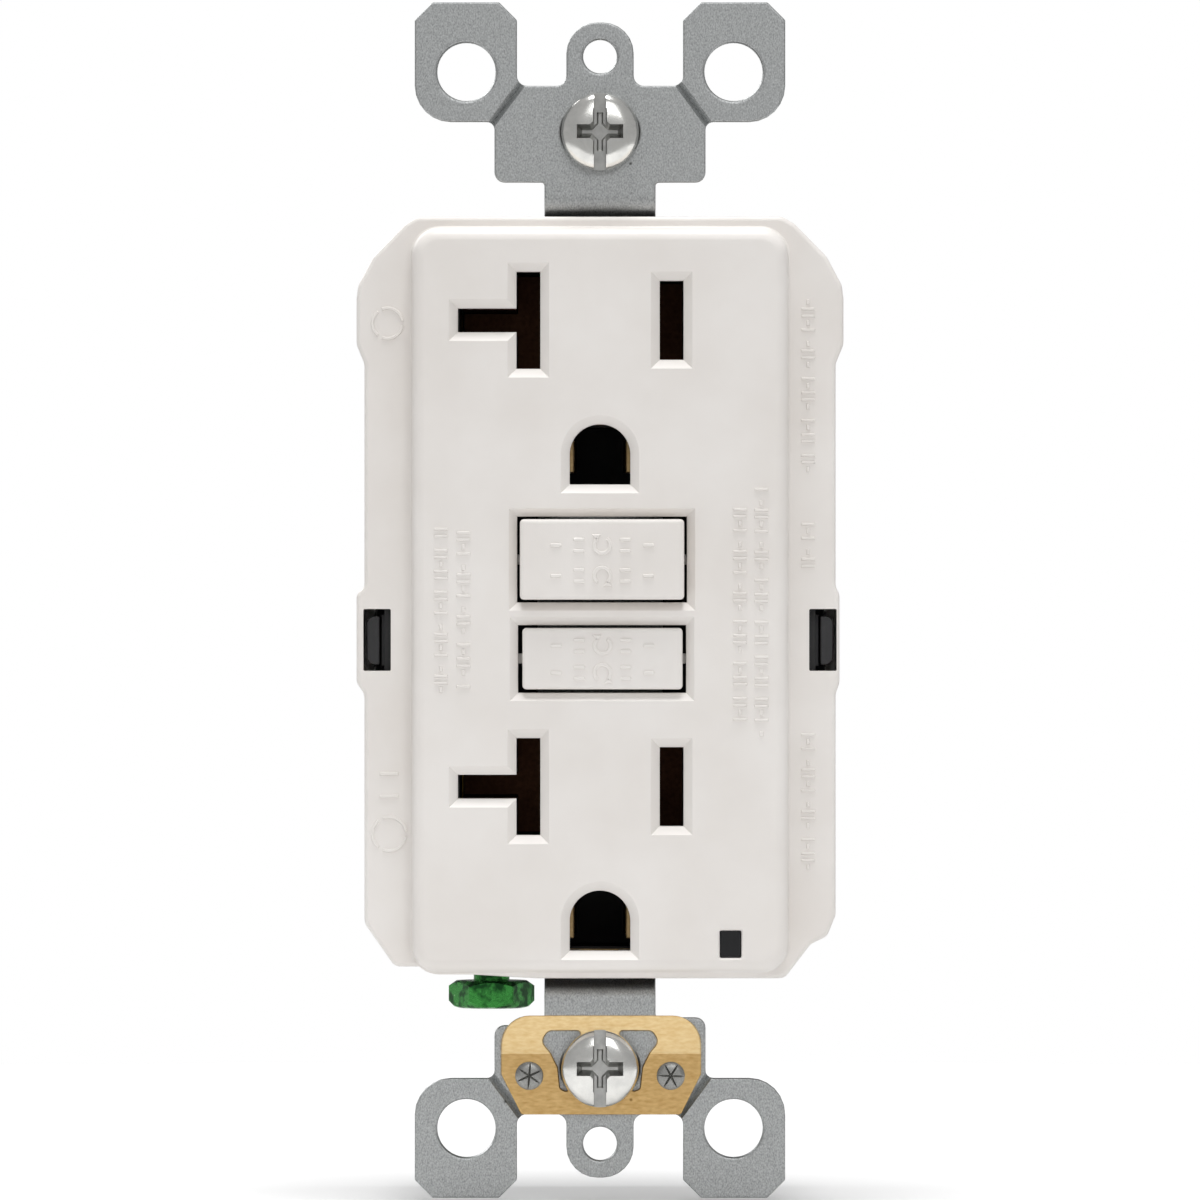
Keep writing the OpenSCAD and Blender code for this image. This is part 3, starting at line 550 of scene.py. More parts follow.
@dataclass(frozen=True)
class Finish:
    """A real material and how its surface was made.

    Pattern sizes are in millimetres. Real plating crystals, mould spark marks and rolling lines measure 0.02 to
    0.1 mm, which is too fine to show from a metre away, so each grain is drawn as coarse as it needs to show.

    Attributes:
        slot: Name of a material slot; not used.
        name: The material's common name.
        colour: Main colour.
        shade: Second colour, in the pattern's darker parts.
        surface: How the surface was made, which picks the pattern.
        metallic: 1 for a metal.
        roughness: Mean roughness.
        uneven: How far the roughness strays.
        grain: Size of the fine pattern.
        relief: Depth of the fine pattern.
        blotch: Size of the broad pattern.
        amount: How strongly the second colour shows.
        specks: Share of the cells that hold a speck.
        speck_colour: Colour of the specks.
        speck_size: Distance between the cells.
        coat: Weight of a clear coat.
        ior: Index of refraction, for what isn't a metal.
        stretch: How the fine pattern's scale differs along each axis.
    """

    slot: str
    name: str
    colour: str
    shade: str
    surface: Surface
    metallic: float = 0.0
    roughness: float = 0.45
    uneven: float = 0.06
    grain: float = 0.2
    relief: float = 0.004
    blotch: float = 5.0
    amount: float = 0.5
    specks: float = 0.0
    speck_colour: str = "#202020"
    speck_size: float = 0.9
    coat: float = 0.0
    ior: float = 1.5
    stretch: tuple[float, float, float] = (1.0, 1.0, 1.0)

    def build(self) -> bpy.types.Material:
        """Makes the material, once.

        Returns:
            The material.
        """
        ready = bpy.data.materials.get(self.name)
        if ready:
            return ready
        material = bpy.data.materials.new(self.name)
        material.use_nodes = True
        tree = material.node_tree
        tree.nodes.clear()
        place = put(tree, "ShaderNodeTexCoord").outputs["Object"]
        stretched = put(tree, "ShaderNodeMapping", {"Vector": place, "Scale": self.stretch}).outputs[0]
        cloud = self.noise(tree, place, self.blotch, 3.0)
        grain = self.noise(tree, stretched, self.grain, 2.0)
        tone = self.tone(tree, cloud, grain, place)
        colour = self.mix(tree, tone, linear(self.colour), linear(self.shade))
        if self.specks:
            mask = self.dots(tree, place)
            colour = self.mix(tree, mask, colour, linear(self.speck_colour))
        gloss = put(tree, "ShaderNodeMapRange", {
            "Value": tone, "To Min": self.roughness - self.uneven, "To Max": self.roughness + self.uneven,
        })
        bump = put(tree, "ShaderNodeBump", {"Strength": 1.0, "Distance": self.relief * MM, "Height": grain})
        shader_inputs = {
            "Base Color": colour, "Metallic": self.metallic, "Roughness": gloss.outputs[0],
            "Normal": bump.outputs[0], "Coat Weight": self.coat, "Coat Roughness": 0.2,
        }
        if not self.metallic:
            shader_inputs["IOR"] = self.ior
        shader = put(tree, "ShaderNodeBsdfPrincipled", shader_inputs)
        put(tree, "ShaderNodeOutputMaterial", {"Surface": shader.outputs[0]})
        return material

    def noise(
        self, tree: bpy.types.NodeTree, place: bpy.types.NodeSocket, size: float, detail: float,
    ) -> bpy.types.NodeSocket:
        """Adds a noise whose lumps have a real size.

        Args:
            tree: The node tree.
            place: The coordinates.
            size: Size of the lumps in millimetres.
            detail: How much finer noise lies on them.

        Returns:
            The noise's value.
        """
        node = put(tree, "ShaderNodeTexNoise", {"Vector": place, "Scale": 1 / (size * MM), "Detail": detail})
        return node.outputs[0]

    def mix(self, tree: bpy.types.NodeTree, factor: object, one: object, two: object) -> bpy.types.NodeSocket:
        """Mixes two colours.

        Args:
            tree: The node tree.
            factor: Share of the second colour.
            one: The first colour.
            two: The second colour.

        Returns:
            The mixed colour.
        """
        node = put(tree, "ShaderNodeMix", {0: factor, 6: one, 7: two}, data_type="RGBA")
        return node.outputs[2]

    def tone(
        self, tree: bpy.types.NodeTree, cloud: bpy.types.NodeSocket, grain: bpy.types.NodeSocket,
        place: bpy.types.NodeSocket,
    ) -> bpy.types.NodeSocket:
        """Works out where the surface shows its second shade.

        Args:
            tree: The node tree.
            cloud: The broad, slow pattern.
            grain: The fine pattern.
            place: The coordinates; not used.

        Returns:
            The share of the second shade.
        """
        sources = {
            # Moulding shows faint flow clouds under an even grain
            Surface.MOULDED: (cloud, 0.35, 0.65),
            # Rolled sheet shows its grain along the rolling direction
            Surface.ROLLED: (grain, 0.3, 0.7),
            # Stamping leaves fine lines and a few darker rubs
            Surface.STAMPED: (grain, 0.25, 0.8),
            # Plating is even, with slight clouds from the bath
            Surface.PLATED: (cloud, 0.3, 0.75),
            # Dye takes unevenly, in sharp patches
            Surface.DYED: (cloud, 0.42, 0.6),
            # Drawing leaves lines along the wire
            Surface.DRAWN: (grain, 0.2, 0.8),
            # Printed board shows its weave faintly
            Surface.PRINTED: (grain, 0.3, 0.7),
        }
        source, low, high = sources[self.surface]
        ranged = put(tree, "ShaderNodeMapRange", {
            "Value": source, "From Min": low, "From Max": high, "To Max": self.amount,
        })
        return ranged.outputs[0]

    def dots(self, tree: bpy.types.NodeTree, place: bpy.types.NodeSocket) -> bpy.types.NodeSocket:
        """Adds small scattered pits or specks.

        Args:
            tree: The node tree.
            place: The coordinates.

        Returns:
            A mask that is 1 on a speck.
        """
        cells = put(tree, "ShaderNodeTexVoronoi", {
            "Vector": place, "Scale": 1 / (self.speck_size * MM), "Randomness": 1.0,
        })
        near = put(tree, "ShaderNodeMapRange", {
            "Value": cells.outputs["Distance"], "From Min": 0.04, "From Max": 0.14, "To Min": 1.0, "To Max": 0.0,
        })
        chosen = put(tree, "ShaderNodeSeparateColor", {"Color": cells.outputs["Color"]})
        rare = put(tree, "ShaderNodeMath", {0: chosen.outputs[0], 1: 1 - self.specks}, operation="GREATER_THAN")
        both = put(tree, "ShaderNodeMath", {0: near.outputs[0], 1: rare.outputs[0]}, operation="MULTIPLY")
        return both.outputs[0]


# Injection-moulded thermoplastic: satin white, faintly warm, with a fine spark-eroded grain
WHITE_PLASTIC = Finish(
    "white_cover_plastic", "moulded white thermoplastic", "#e9e5e1", "#e2ddd8", Surface.MOULDED,
    roughness=0.42, uneven=0.03, grain=0.22, relief=0.0035, blotch=9.0, amount=0.8, ior=1.49,
)
# Zinc-coated sheet: flat grey, finely speckled along the rolling direction, with a few dark pits
GALVANISED = Finish(
    "galvanized_steel", "galvanised steel sheet", "#bdbfbf", "#8d8f8f", Surface.ROLLED,
    metallic=1.0, roughness=0.48, uneven=0.06, grain=0.11, relief=0.003, blotch=3.0, amount=0.9,
    specks=0.1, speck_colour="#5c5c5b", speck_size=1.4, stretch=(1.0, 1.0, 0.6),
)
# Bright zinc plate: clean and reflective, softly clouded
ZINC = Finish(
    "zinc_plated_steel", "bright zinc-plated steel", "#ecebe7", "#cfcfcc", Surface.PLATED,
    metallic=1.0, roughness=0.22, uneven=0.07, grain=0.12, relief=0.002, blotch=1.2, amount=0.8,
)
# Zinc plate down in the screw head's recess, drawn darker and duller than the head: painted shade in the recess
RECESS_SHADE_ZINC = Finish(
    "zinc_plated_steel", "zinc plate in a pressed recess", "#bfbfbc", "#989896", Surface.PLATED,
    metallic=1.0, roughness=0.36, uneven=0.06, grain=0.12, relief=0.002, blotch=0.8, amount=0.8,
)
# Rivet end spread with a chisel: bare grey steel, rubbed and dull
STAKED_STEEL = Finish(
    "zinc_plated_steel", "staked steel rivet", "#a5a5a2", "#7c7c7a", Surface.STAMPED,
    metallic=1.0, roughness=0.4, uneven=0.06, grain=0.12, relief=0.003, amount=0.8,
)
# Stamped brass sheet: warm, with fine lines and brown rubs
BRASS = Finish(
    "brass", "stamped brass sheet", "#d8b67e", "#b48d50", Surface.STAMPED,
    metallic=1.0, roughness=0.4, uneven=0.08, grain=0.25, relief=0.003, blotch=3.0, amount=0.8,
    specks=0.1, speck_colour="#7c5a2c", speck_size=1.4, stretch=(0.35, 1.0, 1.0),
)
# The clip's upper part: paler and brighter than the rest of the sheet, a painted highlight where it faces the light
# from above
HIGHLIGHT_BRASS = Finish(
    "brass", "brass with painted highlight", "#f3d9a6", "#dcb87c", Surface.STAMPED,
    metallic=1.0, roughness=0.42, uneven=0.06, grain=0.25, relief=0.002, amount=0.8, stretch=(0.35, 1.0, 1.0),
)
# Dyed zinc plate: strong green that took unevenly, lighter on the rubbed parts
GREEN = Finish(
    "green_steel", "green-dyed zinc plate", "#429a45", "#114a1c", Surface.DYED,
    metallic=0.75, roughness=0.33, uneven=0.1, grain=0.3, relief=0.008, blotch=0.9, amount=1.0,
    specks=0.35, speck_colour="#98cc94", speck_size=0.8,
)
# Vulcanised fibre: dull reddish brown with short fibres
FIBRE = Finish(
    "fibre", "vulcanised fibre", "#8f6a48", "#6d4c30", Surface.STAMPED,
    roughness=0.75, grain=0.2, relief=0.01, stretch=(0.4, 1.0, 1.0),
)
# Drawn spring wire: smooth grey steel
SPRING = Finish(
    "spring_steel", "drawn spring wire", "#bfc1c2", "#9a9c9e", Surface.DRAWN,
    metallic=1.0, roughness=0.3, grain=0.15, relief=0.001,
)
# Nickel plate over turned steel: bright with a slight yellow cast
NICKEL = Finish(
    "bright_steel", "nickel-plated steel", "#c3c3bf", "#a4a5a2", Surface.PLATED,
    metallic=1.0, roughness=0.32, grain=0.15, relief=0.002, blotch=2.0,
)
# Phosphor bronze strip: reddish brown, drawn dark as the strips look in the shade behind the slots: painted shade
BRONZE_IN_SHADE = Finish(
    "contact_bronze", "phosphor bronze strip with painted shade", "#503628", "#2c1b13", Surface.STAMPED,
    metallic=1.0, roughness=0.42, grain=0.3, relief=0.003, blotch=2.5, stretch=(1.0, 0.4, 1.0),
)
# Dull brass of the ground contacts
GROUND_BRASS = Finish(
    "tinned_ground_brass", "dull stamped brass", "#b39a72", "#8c744e", Surface.STAMPED,
    metallic=1.0, roughness=0.48, grain=0.25, relief=0.003, stretch=(0.4, 1.0, 1.0),
)
# Silver alloy of the contact faces
SILVER = Finish(
    "silver_contact", "silver alloy rivet", "#dcdcd6", "#bfbfba", Surface.PLATED,
    metallic=1.0, roughness=0.3, grain=0.15, relief=0.002,
)
# Glass-filled black thermoplastic: matt with a slightly dry surface
BLACK_PLASTIC = Finish(
    "black_frame_plastic", "glass-filled black thermoplastic", "#1b1b1c", "#242426", Surface.MOULDED,
    roughness=0.6, grain=0.25, relief=0.008, blotch=4.0,
)
# Dark moulded thermoplastic of the rear housing
DARK_PLASTIC = Finish(
    "dark_housing_plastic", "moulded dark thermoplastic", "#29292b", "#323234", Surface.MOULDED,
    roughness=0.5, grain=0.3, relief=0.009, blotch=6.0,
)
# Natural nylon: creamy and slightly waxy
NYLON = Finish(
    "cream_nylon", "moulded natural nylon", "#ded6c0", "#cfc6ad", Surface.MOULDED,
    roughness=0.45, grain=0.3, relief=0.004, blotch=4.0, ior=1.53,
)
# Enamelled copper wire: glossy orange brown
COPPER = Finish(
    "copper_wire", "enamelled copper wire", "#b5652f", "#8a4319", Surface.DRAWN,
    metallic=0.9, roughness=0.28, grain=0.25, relief=0.06, amount=0.9, coat=0.5, stretch=(0.15, 0.15, 1.0),
)
# Coated magnetic core: dull grey
CORE = Finish(
    "core_steel", "coated magnetic core", "#55595d", "#45494d", Surface.MOULDED,
    metallic=0.3, roughness=0.55, grain=0.3, relief=0.006,
)
# Brass terminal: golden, with stamping lines
BRASS_TERMINAL = Finish(
    "brass_terminal", "brass terminal", "#d9b566", "#b98f42", Surface.STAMPED,
    metallic=1.0, roughness=0.34, grain=0.25, relief=0.003, stretch=(1.0, 0.4, 1.0),
)
# Nickel-plated terminal: silvery
SILVER_TERMINAL = Finish(
    "silver_terminal", "nickel-plated terminal", "#c8c9c8", "#a5a7a8", Surface.PLATED,
    metallic=1.0, roughness=0.3, grain=0.2, relief=0.002, blotch=2.0,
)
# Solder mask over woven fibreglass: glossy green with a faint weave
BOARD = Finish(
    "circuit_board", "solder-masked fibreglass", "#1f6a38", "#2b7c46", Surface.PRINTED,
    roughness=0.32, grain=0.6, relief=0.006, coat=0.3,
)
# Clear cast epoxy: smooth and glossy, slightly yellow
LED_LENS = Finish(
    "led_lens", "moulded clear epoxy", "#dcdcd0", "#cfcfc2", Surface.MOULDED, roughness=0.2, relief=0.001,
)
# Transfer-moulded epoxy of the chips: dull black with a fine sandy skin
BLACK_PACKAGE = Finish(
    "black_package", "moulded black epoxy", "#1d1d1f", "#262628", Surface.MOULDED, roughness=0.5, relief=0.005,
)
# Dipped epoxy: glossy, softly uneven
BLUE_DIP = Finish(
    "varistor_coating", "dipped blue epoxy", "#2e5fa6", "#274f8c", Surface.MOULDED, roughness=0.3, grain=0.8,
    relief=0.02,
)
# Dipped epoxy of the film capacitor: glossy brick red
RED_DIP = Finish(
    "film_coating", "dipped red epoxy", "#b8452c", "#983621", Surface.MOULDED, roughness=0.3, grain=0.8, relief=0.02,
)
# Heat-shrunk sleeve: thin, glossy and dark blue
SLEEVE = Finish(
    "capacitor_sleeve", "shrink sleeve", "#26345a", "#2e3e68", Surface.MOULDED, roughness=0.3, relief=0.002, coat=0.3,
)
# Lacquered resistor body: tan, glossy, unevenly coated
RESISTOR = Finish(
    "resistor_body", "lacquered resistor", "#cbb083", "#a9865a", Surface.DYED, roughness=0.35, grain=0.4, relief=0.004,
    blotch=0.7, coat=0.3,
)
# Clear moulded light guide, coloured near-black: painted shade of the recess behind it
SHADE_PAINTED_LENS = Finish(
    "lens", "clear moulded plastic painted dark with recess shade", "#141517", "#0f1011", Surface.MOULDED,
    roughness=0.3, uneven=0.03, relief=0.001, ior=1.4,
)


def shaded(obj: bpy.types.Object, angle: float = 32.0) -> None:
    """Smooths a piece's curved faces and keeps its creases sharp.

    Args:
        obj: The piece.
        angle: The angle in degrees above which an edge stays sharp.
    """
    mesh = obj.data
    mesh.polygons.foreach_set("use_smooth", [True] * len(mesh.polygons))
    mesh.set_sharp_from_angle(angle=math.radians(angle))
    modifier = obj.modifiers.new("face normals", "WEIGHTED_NORMAL")
    modifier.keep_sharp = True


def add_piece(
    name: str, mesh: bpy.types.Mesh, finish: Finish, body: str, stands_for: Sequence[str] = (), angle: float = 32.0,
) -> bpy.types.Object:
    """Adds a visual piece that rides on a body.

    Args:
        name: The piece's name.
        mesh: Its shape.
        finish: Its material.
        body: The moving body that carries it.
        stands_for: The frame's nodes that it replaces.
        angle: Crease angle for shading, in degrees.

    Returns:
        The piece.
    """
    mesh.name = name
    mesh.materials.clear()
    mesh.materials.append(finish.build())
    obj = bpy.data.objects.new(name, mesh)
    bpy.context.scene.collection.objects.link(obj)
    shaded(obj, angle)
    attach(obj, body)
    if stands_for:
        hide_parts(*stands_for)
    LOG.info("%s: %d faces on %s", name, len(mesh.polygons), body)
    return obj


def dress(frame: dict, node: str, finish: Finish, rounding: float = 0.1, angle: float = 35.0) -> None:
    """Gives a frame node its material and rounds its edges.

    Args:
        frame: The loaded frame.
        node: The node's name.
        finish: Its material.
        rounding: Width of the rounding on its edges, in millimetres.
        angle: Edges sharper than this many degrees are rounded.
    """
    obj = frame["nodes"][node]
    material = finish.build()
    if not obj.material_slots:
        obj.data.materials.append(material)
    for material_slot in obj.material_slots:
        material_slot.material = material
    weld = obj.modifiers.new("joined facets", "WELD")
    weld.merge_threshold = WELD_GAP * MM
    flat = obj.modifiers.new("flat faces", "DECIMATE")
    flat.decimate_type = "DISSOLVE"
    flat.angle_limit = math.radians(FLAT_ANGLE)
    if rounding:
        edge = obj.modifiers.new("rounded edges", "BEVEL")
        edge.width = rounding * MM
        edge.segments = 2
        edge.limit_method = "ANGLE"
        edge.angle_limit = math.radians(angle)
        edge.harden_normals = True
    normals = obj.modifiers.new("face normals", "WEIGHTED_NORMAL")
    normals.keep_sharp = True
    LOG.info("%s dressed as %s", node, finish.name)


# ---- sub-assemblies ----


@dataclass
class Cover:
    """The moulded front cover, with its openings and raised marks.

    Attributes:
        half: Half of the shoulder's width.
        top: Height of the shoulder's upper edge.
        bottom: How far its lower edge lies below the middle.
        lobe: How far the upper side lobes stand out.
        shoulder: Depth of the shoulder's front.
        shoulder_in: Depth of the shoulder's inside.
        rear: Depth of the side walls' rear edge.
        face: Width and height of the raised face.
        front: Depth of the raised face.
        face_in: Depth of its inside.
        wall: Thickness of the side walls.
        slot_width: Width of the blade slots.
        blade: Distance of the blade slots from the middle.
        receptacles: Heights of the two receptacles.
        tab_bulge: How far the left and right snap tabs stand out.
        button_windows: Middle and size of each button window.
        led: Middle of the indicator window.
        bosses: Places of the screw bosses.
        roll: Radius of the raised face's edge.
        stroke_pitch: Distance between the strokes of a moulded note.
        snap_window: Lower and upper end of the snap windows.
        tab: Lower and upper end of the snap tabs.
    """

    half: float = 20.95
    top: float = 34.1
    bottom: float = 33.65
    lobe: float = 0.7
    shoulder: float = -2.9
    shoulder_in: float = -1.3
    rear: float = 5.0
    face: Point = (33.3, 66.0)
    front: float = -6.4
    face_in: float = -4.4
    wall: float = 1.4
    slot_width: float = 2.1
    blade: float = 6.35
    receptacles: tuple[float, float] = (24.8, -16.55)
    tab_bulge: tuple[float, float] = (0.7, 0.35)
    button_windows: tuple = ((0.18, 3.59, 15.05, 7.6), (0.18, -5.23, 14.9, 6.0))
    led: tuple[float, float] = (11.57, -30.5)
    bosses: Point = (15.8, 28.6)
    roll: float = 1.15
    stroke_pitch: float = 0.62
    snap_window: Point = (-6.3, -0.8)
    tab: Point = (-7.35, 0.55)

    def shoulder_outline(self) -> Outline:
        """Draws the shoulder: straight sides, side lobes above, tabs in the middle.

        Returns:
            The outline.
        """
        h, top, low = self.half, self.top, -self.bottom
        left, right = self.tab_bulge
        upper = [
            (h, 21.0, 1.2), (h + self.lobe, 22.7, 1.4), (h + self.lobe, 26.8, 2.0), (h + 0.55, 28.0, 1.4),
            (h - 0.8, 30.55, 2.0), (h - 3.65, 33.45, 1.4), (h - 4.75, top, 1.2),
        ]
        corners = [
            (h - 4.55, low, 0.9), (h - 2.2, low + 3.05, 0.9), (h - 0.75, low + 3.75, 1.0), (h, low + 5.6, 1.2),
            (h, -8.4, 1.2), (h + right, -7.35, 1.4), (h + right, 0.55, 1.2), (h, 1.15, 1.2),
            *upper, *[(-x, z, r) for x, z, r in reversed(upper)],
            (-h, 1.15, 0.7), (-h - left, 0.55, 0.7), (-h - left, -7.35, 0.9), (-h, -8.4, 1.2),
            (-h, low + 4.9, 1.4), (2.55 - h, low + 1.25, 0.8), (3 - h, low + 1.05, 0.6),
            (-13.52, low + 1.05, 0.1), (-13.3, low + 0.45, 0.6), (-5.6, low, 0.8),
        ]
        return filleted(corners, 4)

    def inner_outline(self) -> Outline:
        """Draws the inside of the side walls.

        Returns:
            The outline.
        """
        w, top, low = self.half - self.wall, self.top - 1.5, 1.85 - self.bottom
        corners = [
            (w - 3.6, top), (w, top - 4.6), (w, low + 4), (w - 3.2, low),
            (3.2 - w, low), (-w, low + 4), (-w, top - 4.6), (3.6 - w, top),
        ]
        return filleted([(x, z, 0.6) for x, z in corners], 4)

    def flared(self, outline: Outline, bevel: float = 0.8) -> bpy.types.Mesh:
        """Makes the cutter of an opening: a bevel with mitred corners, a small inner lip and straight walls.

        Args:
            outline: The opening's own outline.
            bevel: Width and depth of its bevel.

        Returns:
            The cutter.
        """
        front = self.front
        steps = [
            (bevel + 0.35, front - 0.3), (bevel + 0.05, front - 0.005), (bevel - 0.02, front + 0.03),
            (0.06, front + bevel - 0.06), (0.02, front + bevel - 0.01), (0.0, front + bevel + 0.05),
            (0.0, self.face_in + 0.5),
        ]
        return Solid().loft(outline, steps).mesh("opening")

    def slot_outlines(self, z: float) -> list[Outline]:
        """Draws one receptacle's hot slot, tee-shaped neutral slot and ground hole.

        Args:
            z: Height of the receptacle's middle.

        Returns:
            The three outlines.
        """
        w = self.slot_width / 2
        hot = box_outline((self.blade - w, self.blade + w), (z - 3.5, z + 3.5))
        x = -self.blade
        neutral = filleted([
            (x - w, z - 4.3, 0.0), (x + w, z - 4.3, 0.0), (x + w, z + 4.3, 0.0), (x - w, z + 4.3, 0.0),
            (x - w, z + w, 0.0), (-12.6, z + w, 0.0), (-12.6, z - w, 0.0), (x - w, z - w, 0.0),
        ])
        centre, radius = z - 11.9, 2.685
        turns = [math.radians(a) for a in range(0, 181, 6)]
        arch = [(radius * math.cos(a), centre + radius * math.sin(a), 0.0) for a in turns]
        ground = filleted([*arch, (-radius, centre - 2.65, 0.0), (radius, centre - 2.65, 0.0)])
        return [hot, neutral, ground]

    def body_mesh(self) -> bpy.types.Mesh:
        """Builds the cover without its openings: the shoulder and the raised face on it.

        Returns:
            The mesh.
        """
        outline = self.shoulder_outline()
        shell = Solid().loft(outline, [
            (-0.4, self.shoulder), (-0.22, self.shoulder + 0.045), (-0.075, self.shoulder + 0.17),
            (0.0, self.shoulder + 0.4), (0.0, self.rear - 0.15), (-0.12, self.rear),
        ]).mesh("shoulder")
        face = box_outline((-self.face[0] / 2, self.face[0] / 2), (-self.face[1] / 2, self.face[1] / 2), 2.4, 10)
        turns = [math.radians(90 * k / 7) for k in range(8)]
        edge = [(self.roll * (math.sin(a) - 1), self.front + self.roll * (1 - math.cos(a))) for a in turns]
        raised = Solid().loft(face, [
            *edge, (0.05, self.shoulder - 0.3), (0.12, self.shoulder - 0.08), (0.3, self.shoulder + 0.03),
            (0.3, self.shoulder + 0.6),
        ]).mesh("raised face")
        mesh = carved(shell, raised, Carving.JOIN)
        for side, bulge in zip((-1, 1), self.tab_bulge):
            inner, outer = side * 20.2, side * (self.half + bulge)
            ends = (min(inner, outer), max(inner, outer))
            tab = Solid().loft(box_outline(ends, self.tab, 0.12, 2), [
                (0.0, self.rear - 1.5), (0.0, 7.85), (-0.12, 8.0),
            ]).mesh("tab")
            mesh = carved(mesh, tab, Carving.JOIN)
        return mesh

    def marks(self) -> bpy.types.Mesh:
        """Builds the raised marks: plain bars and rings where such covers carry moulded notes.

        Returns:
            The mesh.
        """
        solid = Solid()
        rise = [(0.0, 0.0), (-0.01, -0.08), (-0.05, -0.13)]

        def raise_from(outline: Outline, level: float) -> None:
            """Adds one mark on a surface at a depth.

            Args:
                outline: The mark's outline.
                level: The surface's depth.
            """
            solid.loft(outline, [(o, level + d) for o, d in [(0.0, 0.05), *rise]])

        columns = (
            (-14.1, -8.1, 6.8, self.front), (-12.1, -7.8, 6.7, self.front), (12.4, -10.7, 9.5, self.front),
            (14.3, -12.0, 10.8, self.front), (18.5, 2.9, 7.4, self.shoulder), (18.5, -24.5, -10.9, self.shoulder),
            (18.5, 11.5, 28.0, self.shoulder),
        )
        for index, (x, low, high, level) in enumerate(columns):
            for k in range(int((high - low) / self.stroke_pitch)):
                z = low + self.stroke_pitch * k
                # Two gaps in every eleven strokes part the column like words
                if (k + 3 * index) % 11 in (4, 10):
                    continue
                if (k + index) % 3:
                    raise_from(box_outline((x - 0.62, x + 0.62), (z, z + 0.24)), level)
                else:
                    raise_from(box_outline((x - 0.15, x + 0.15), (z - 0.12, z + 0.36)), level)
        for x, z, radius in ((-18.9, 24.6, 1.35), (-18.75, -20.8, 1.5)):
            for start in (0, 120, 240):
                raise_from(arc_outline(x, z, radius, 0.28, start + 8, start + 112), self.shoulder)
        for z in (-17.6, -15.6):
            raise_from(box_outline((-19.6, -17.9), (z, z + 0.3), 0.1, 2), self.shoulder)
        return solid.mesh("cover_marks")

    def build(self) -> None:
        """Builds the cover and its marks, and dresses both."""
        mesh = self.body_mesh()
        inside = Solid().loft(self.inner_outline(), [(0.0, self.shoulder_in), (0.0, self.rear + 1)]).mesh("inside")
        mesh = carved(mesh, inside)
        w, h = (side / 2 - 1.2 for side in self.face)
        hollow = box_outline((-w, w), (-h, h), 0.8, 4)
        pocket = Solid().loft(hollow, [(0.0, self.face_in), (0.0, self.shoulder_in + 0.5)])
        mesh = carved(mesh, pocket.mesh("pocket"))
        for z in self.receptacles:
            for outline in self.slot_outlines(z):
                mesh = carved(mesh, self.flared(outline, 0.78))
        for x, z, width, height in self.button_windows:
            window = box_outline((x - width / 2, x + width / 2), (z - height / 2, z + height / 2))
            mesh = carved(mesh, self.flared(window, 0.72))
        led = box_outline((self.led[0] - 0.95, self.led[0] + 0.95), (self.led[1] - 1.2, self.led[1] + 1.2), 0.12, 2)
        mesh = carved(mesh, self.flared(led, 0.16))
        for side in (-1, 1):
            ends = sorted((side * (self.half - 2.35), side * (self.half + 0.1)))
            window = box_outline((ends[0], ends[1]), self.snap_window, 0.12, 2)
            lip = Solid().loft(window, [
                (0.0, self.shoulder - 0.4), (0.0, self.rear + 0.15),
            ])
            mesh = carved(mesh, lip.mesh("snap window"))
            ends = sorted((side * (self.half - 2.35), side * (self.half + 5)))
            catch = box_outline((ends[0], ends[1]), self.snap_window, 0.2, 2)
            mesh = carved(mesh, Solid().loft(catch, [(0.0, 5.3), (0.0, 7.5)]).mesh("catch"))
        for low, high in ((32.0, 36.0), (-36.0, -31.2)):
            neck = Solid().loft(box_outline((-5.4, 5.4), (low, high)), [(0.0, self.shoulder_in), (0.0, self.rear + 1)])
            mesh = carved(mesh, neck.mesh("neck notch"))
        notch = box_outline((-13.52, 0.0), (-36.0, -31.2))
        ground = Solid().loft(notch, [(0.0, self.shoulder_in), (0.0, self.rear + 1)])
        mesh = carved(mesh, ground.mesh("ground notch"))
        for x in (-self.bosses[0], self.bosses[0]):
            for z in (-self.bosses[1], self.bosses[1]):
                boss = Solid().lathe((x, z), [(2.3, self.shoulder_in - 0.5), (2.3, self.rear)])
                mesh = carved(mesh, boss.mesh("boss"), Carving.JOIN)
                bore = Solid().lathe((x, z), [(1.15, self.shoulder_in), (1.15, self.rear + 1)])
                mesh = carved(mesh, bore.mesh("bore"))
        add_piece("front_cover_shell", mesh, WHITE_PLASTIC, "root", ["front_cover"], 28.0)
        add_piece("cover_marks", self.marks(), WHITE_PLASTIC, "root")
        add_piece("snap_hooks", self.hooks(), DARK_PLASTIC, "root")
        tips = Solid()
        for z in self.receptacles:
            for side in (-1, 1):
                ends = sorted((side * 2.32, side * 2.95))
                tip = box_outline((ends[0], ends[1]), (z - 13.5, z - 10.6), 0.1, 2)
                tips.loft(tip, [(-0.1, -3.6), (0.0, -3.5), (0.0, 1.9)])
        add_piece("ground_contact_tips", tips.mesh("tips"), GROUND_BRASS, "root")

    def hooks(self) -> bpy.types.Mesh:
        """Builds the dark snap hooks seen in the two side windows.

        Returns:
            The mesh.
        """
        solid = Solid()
        for side in (-1, 1):
            outer = filleted([
                (side * 19.62, -5.75, 0.1), (side * 20.4, -5.75, 0.55), (side * 20.75, -5.2, 0.3),
                (side * 20.75, -1.9, 0.3), (side * 20.4, -1.45, 0.55), (side * 19.62, -1.45, 0.1),
            ], 4)
            solid.loft(outer, [(-0.12, -1.5), (-0.04, -1.46), (0.0, -1.35), (0.0, 3.0)])
            ends = sorted((side * 18.75, side * 19.5))
            solid.loft(box_outline((ends[0], ends[1]), (-5.9, -1.25), 0.1, 2), [(-0.08, -0.6), (0.0, -0.5), (0.0, 3.0)])
        return solid.mesh("hooks")


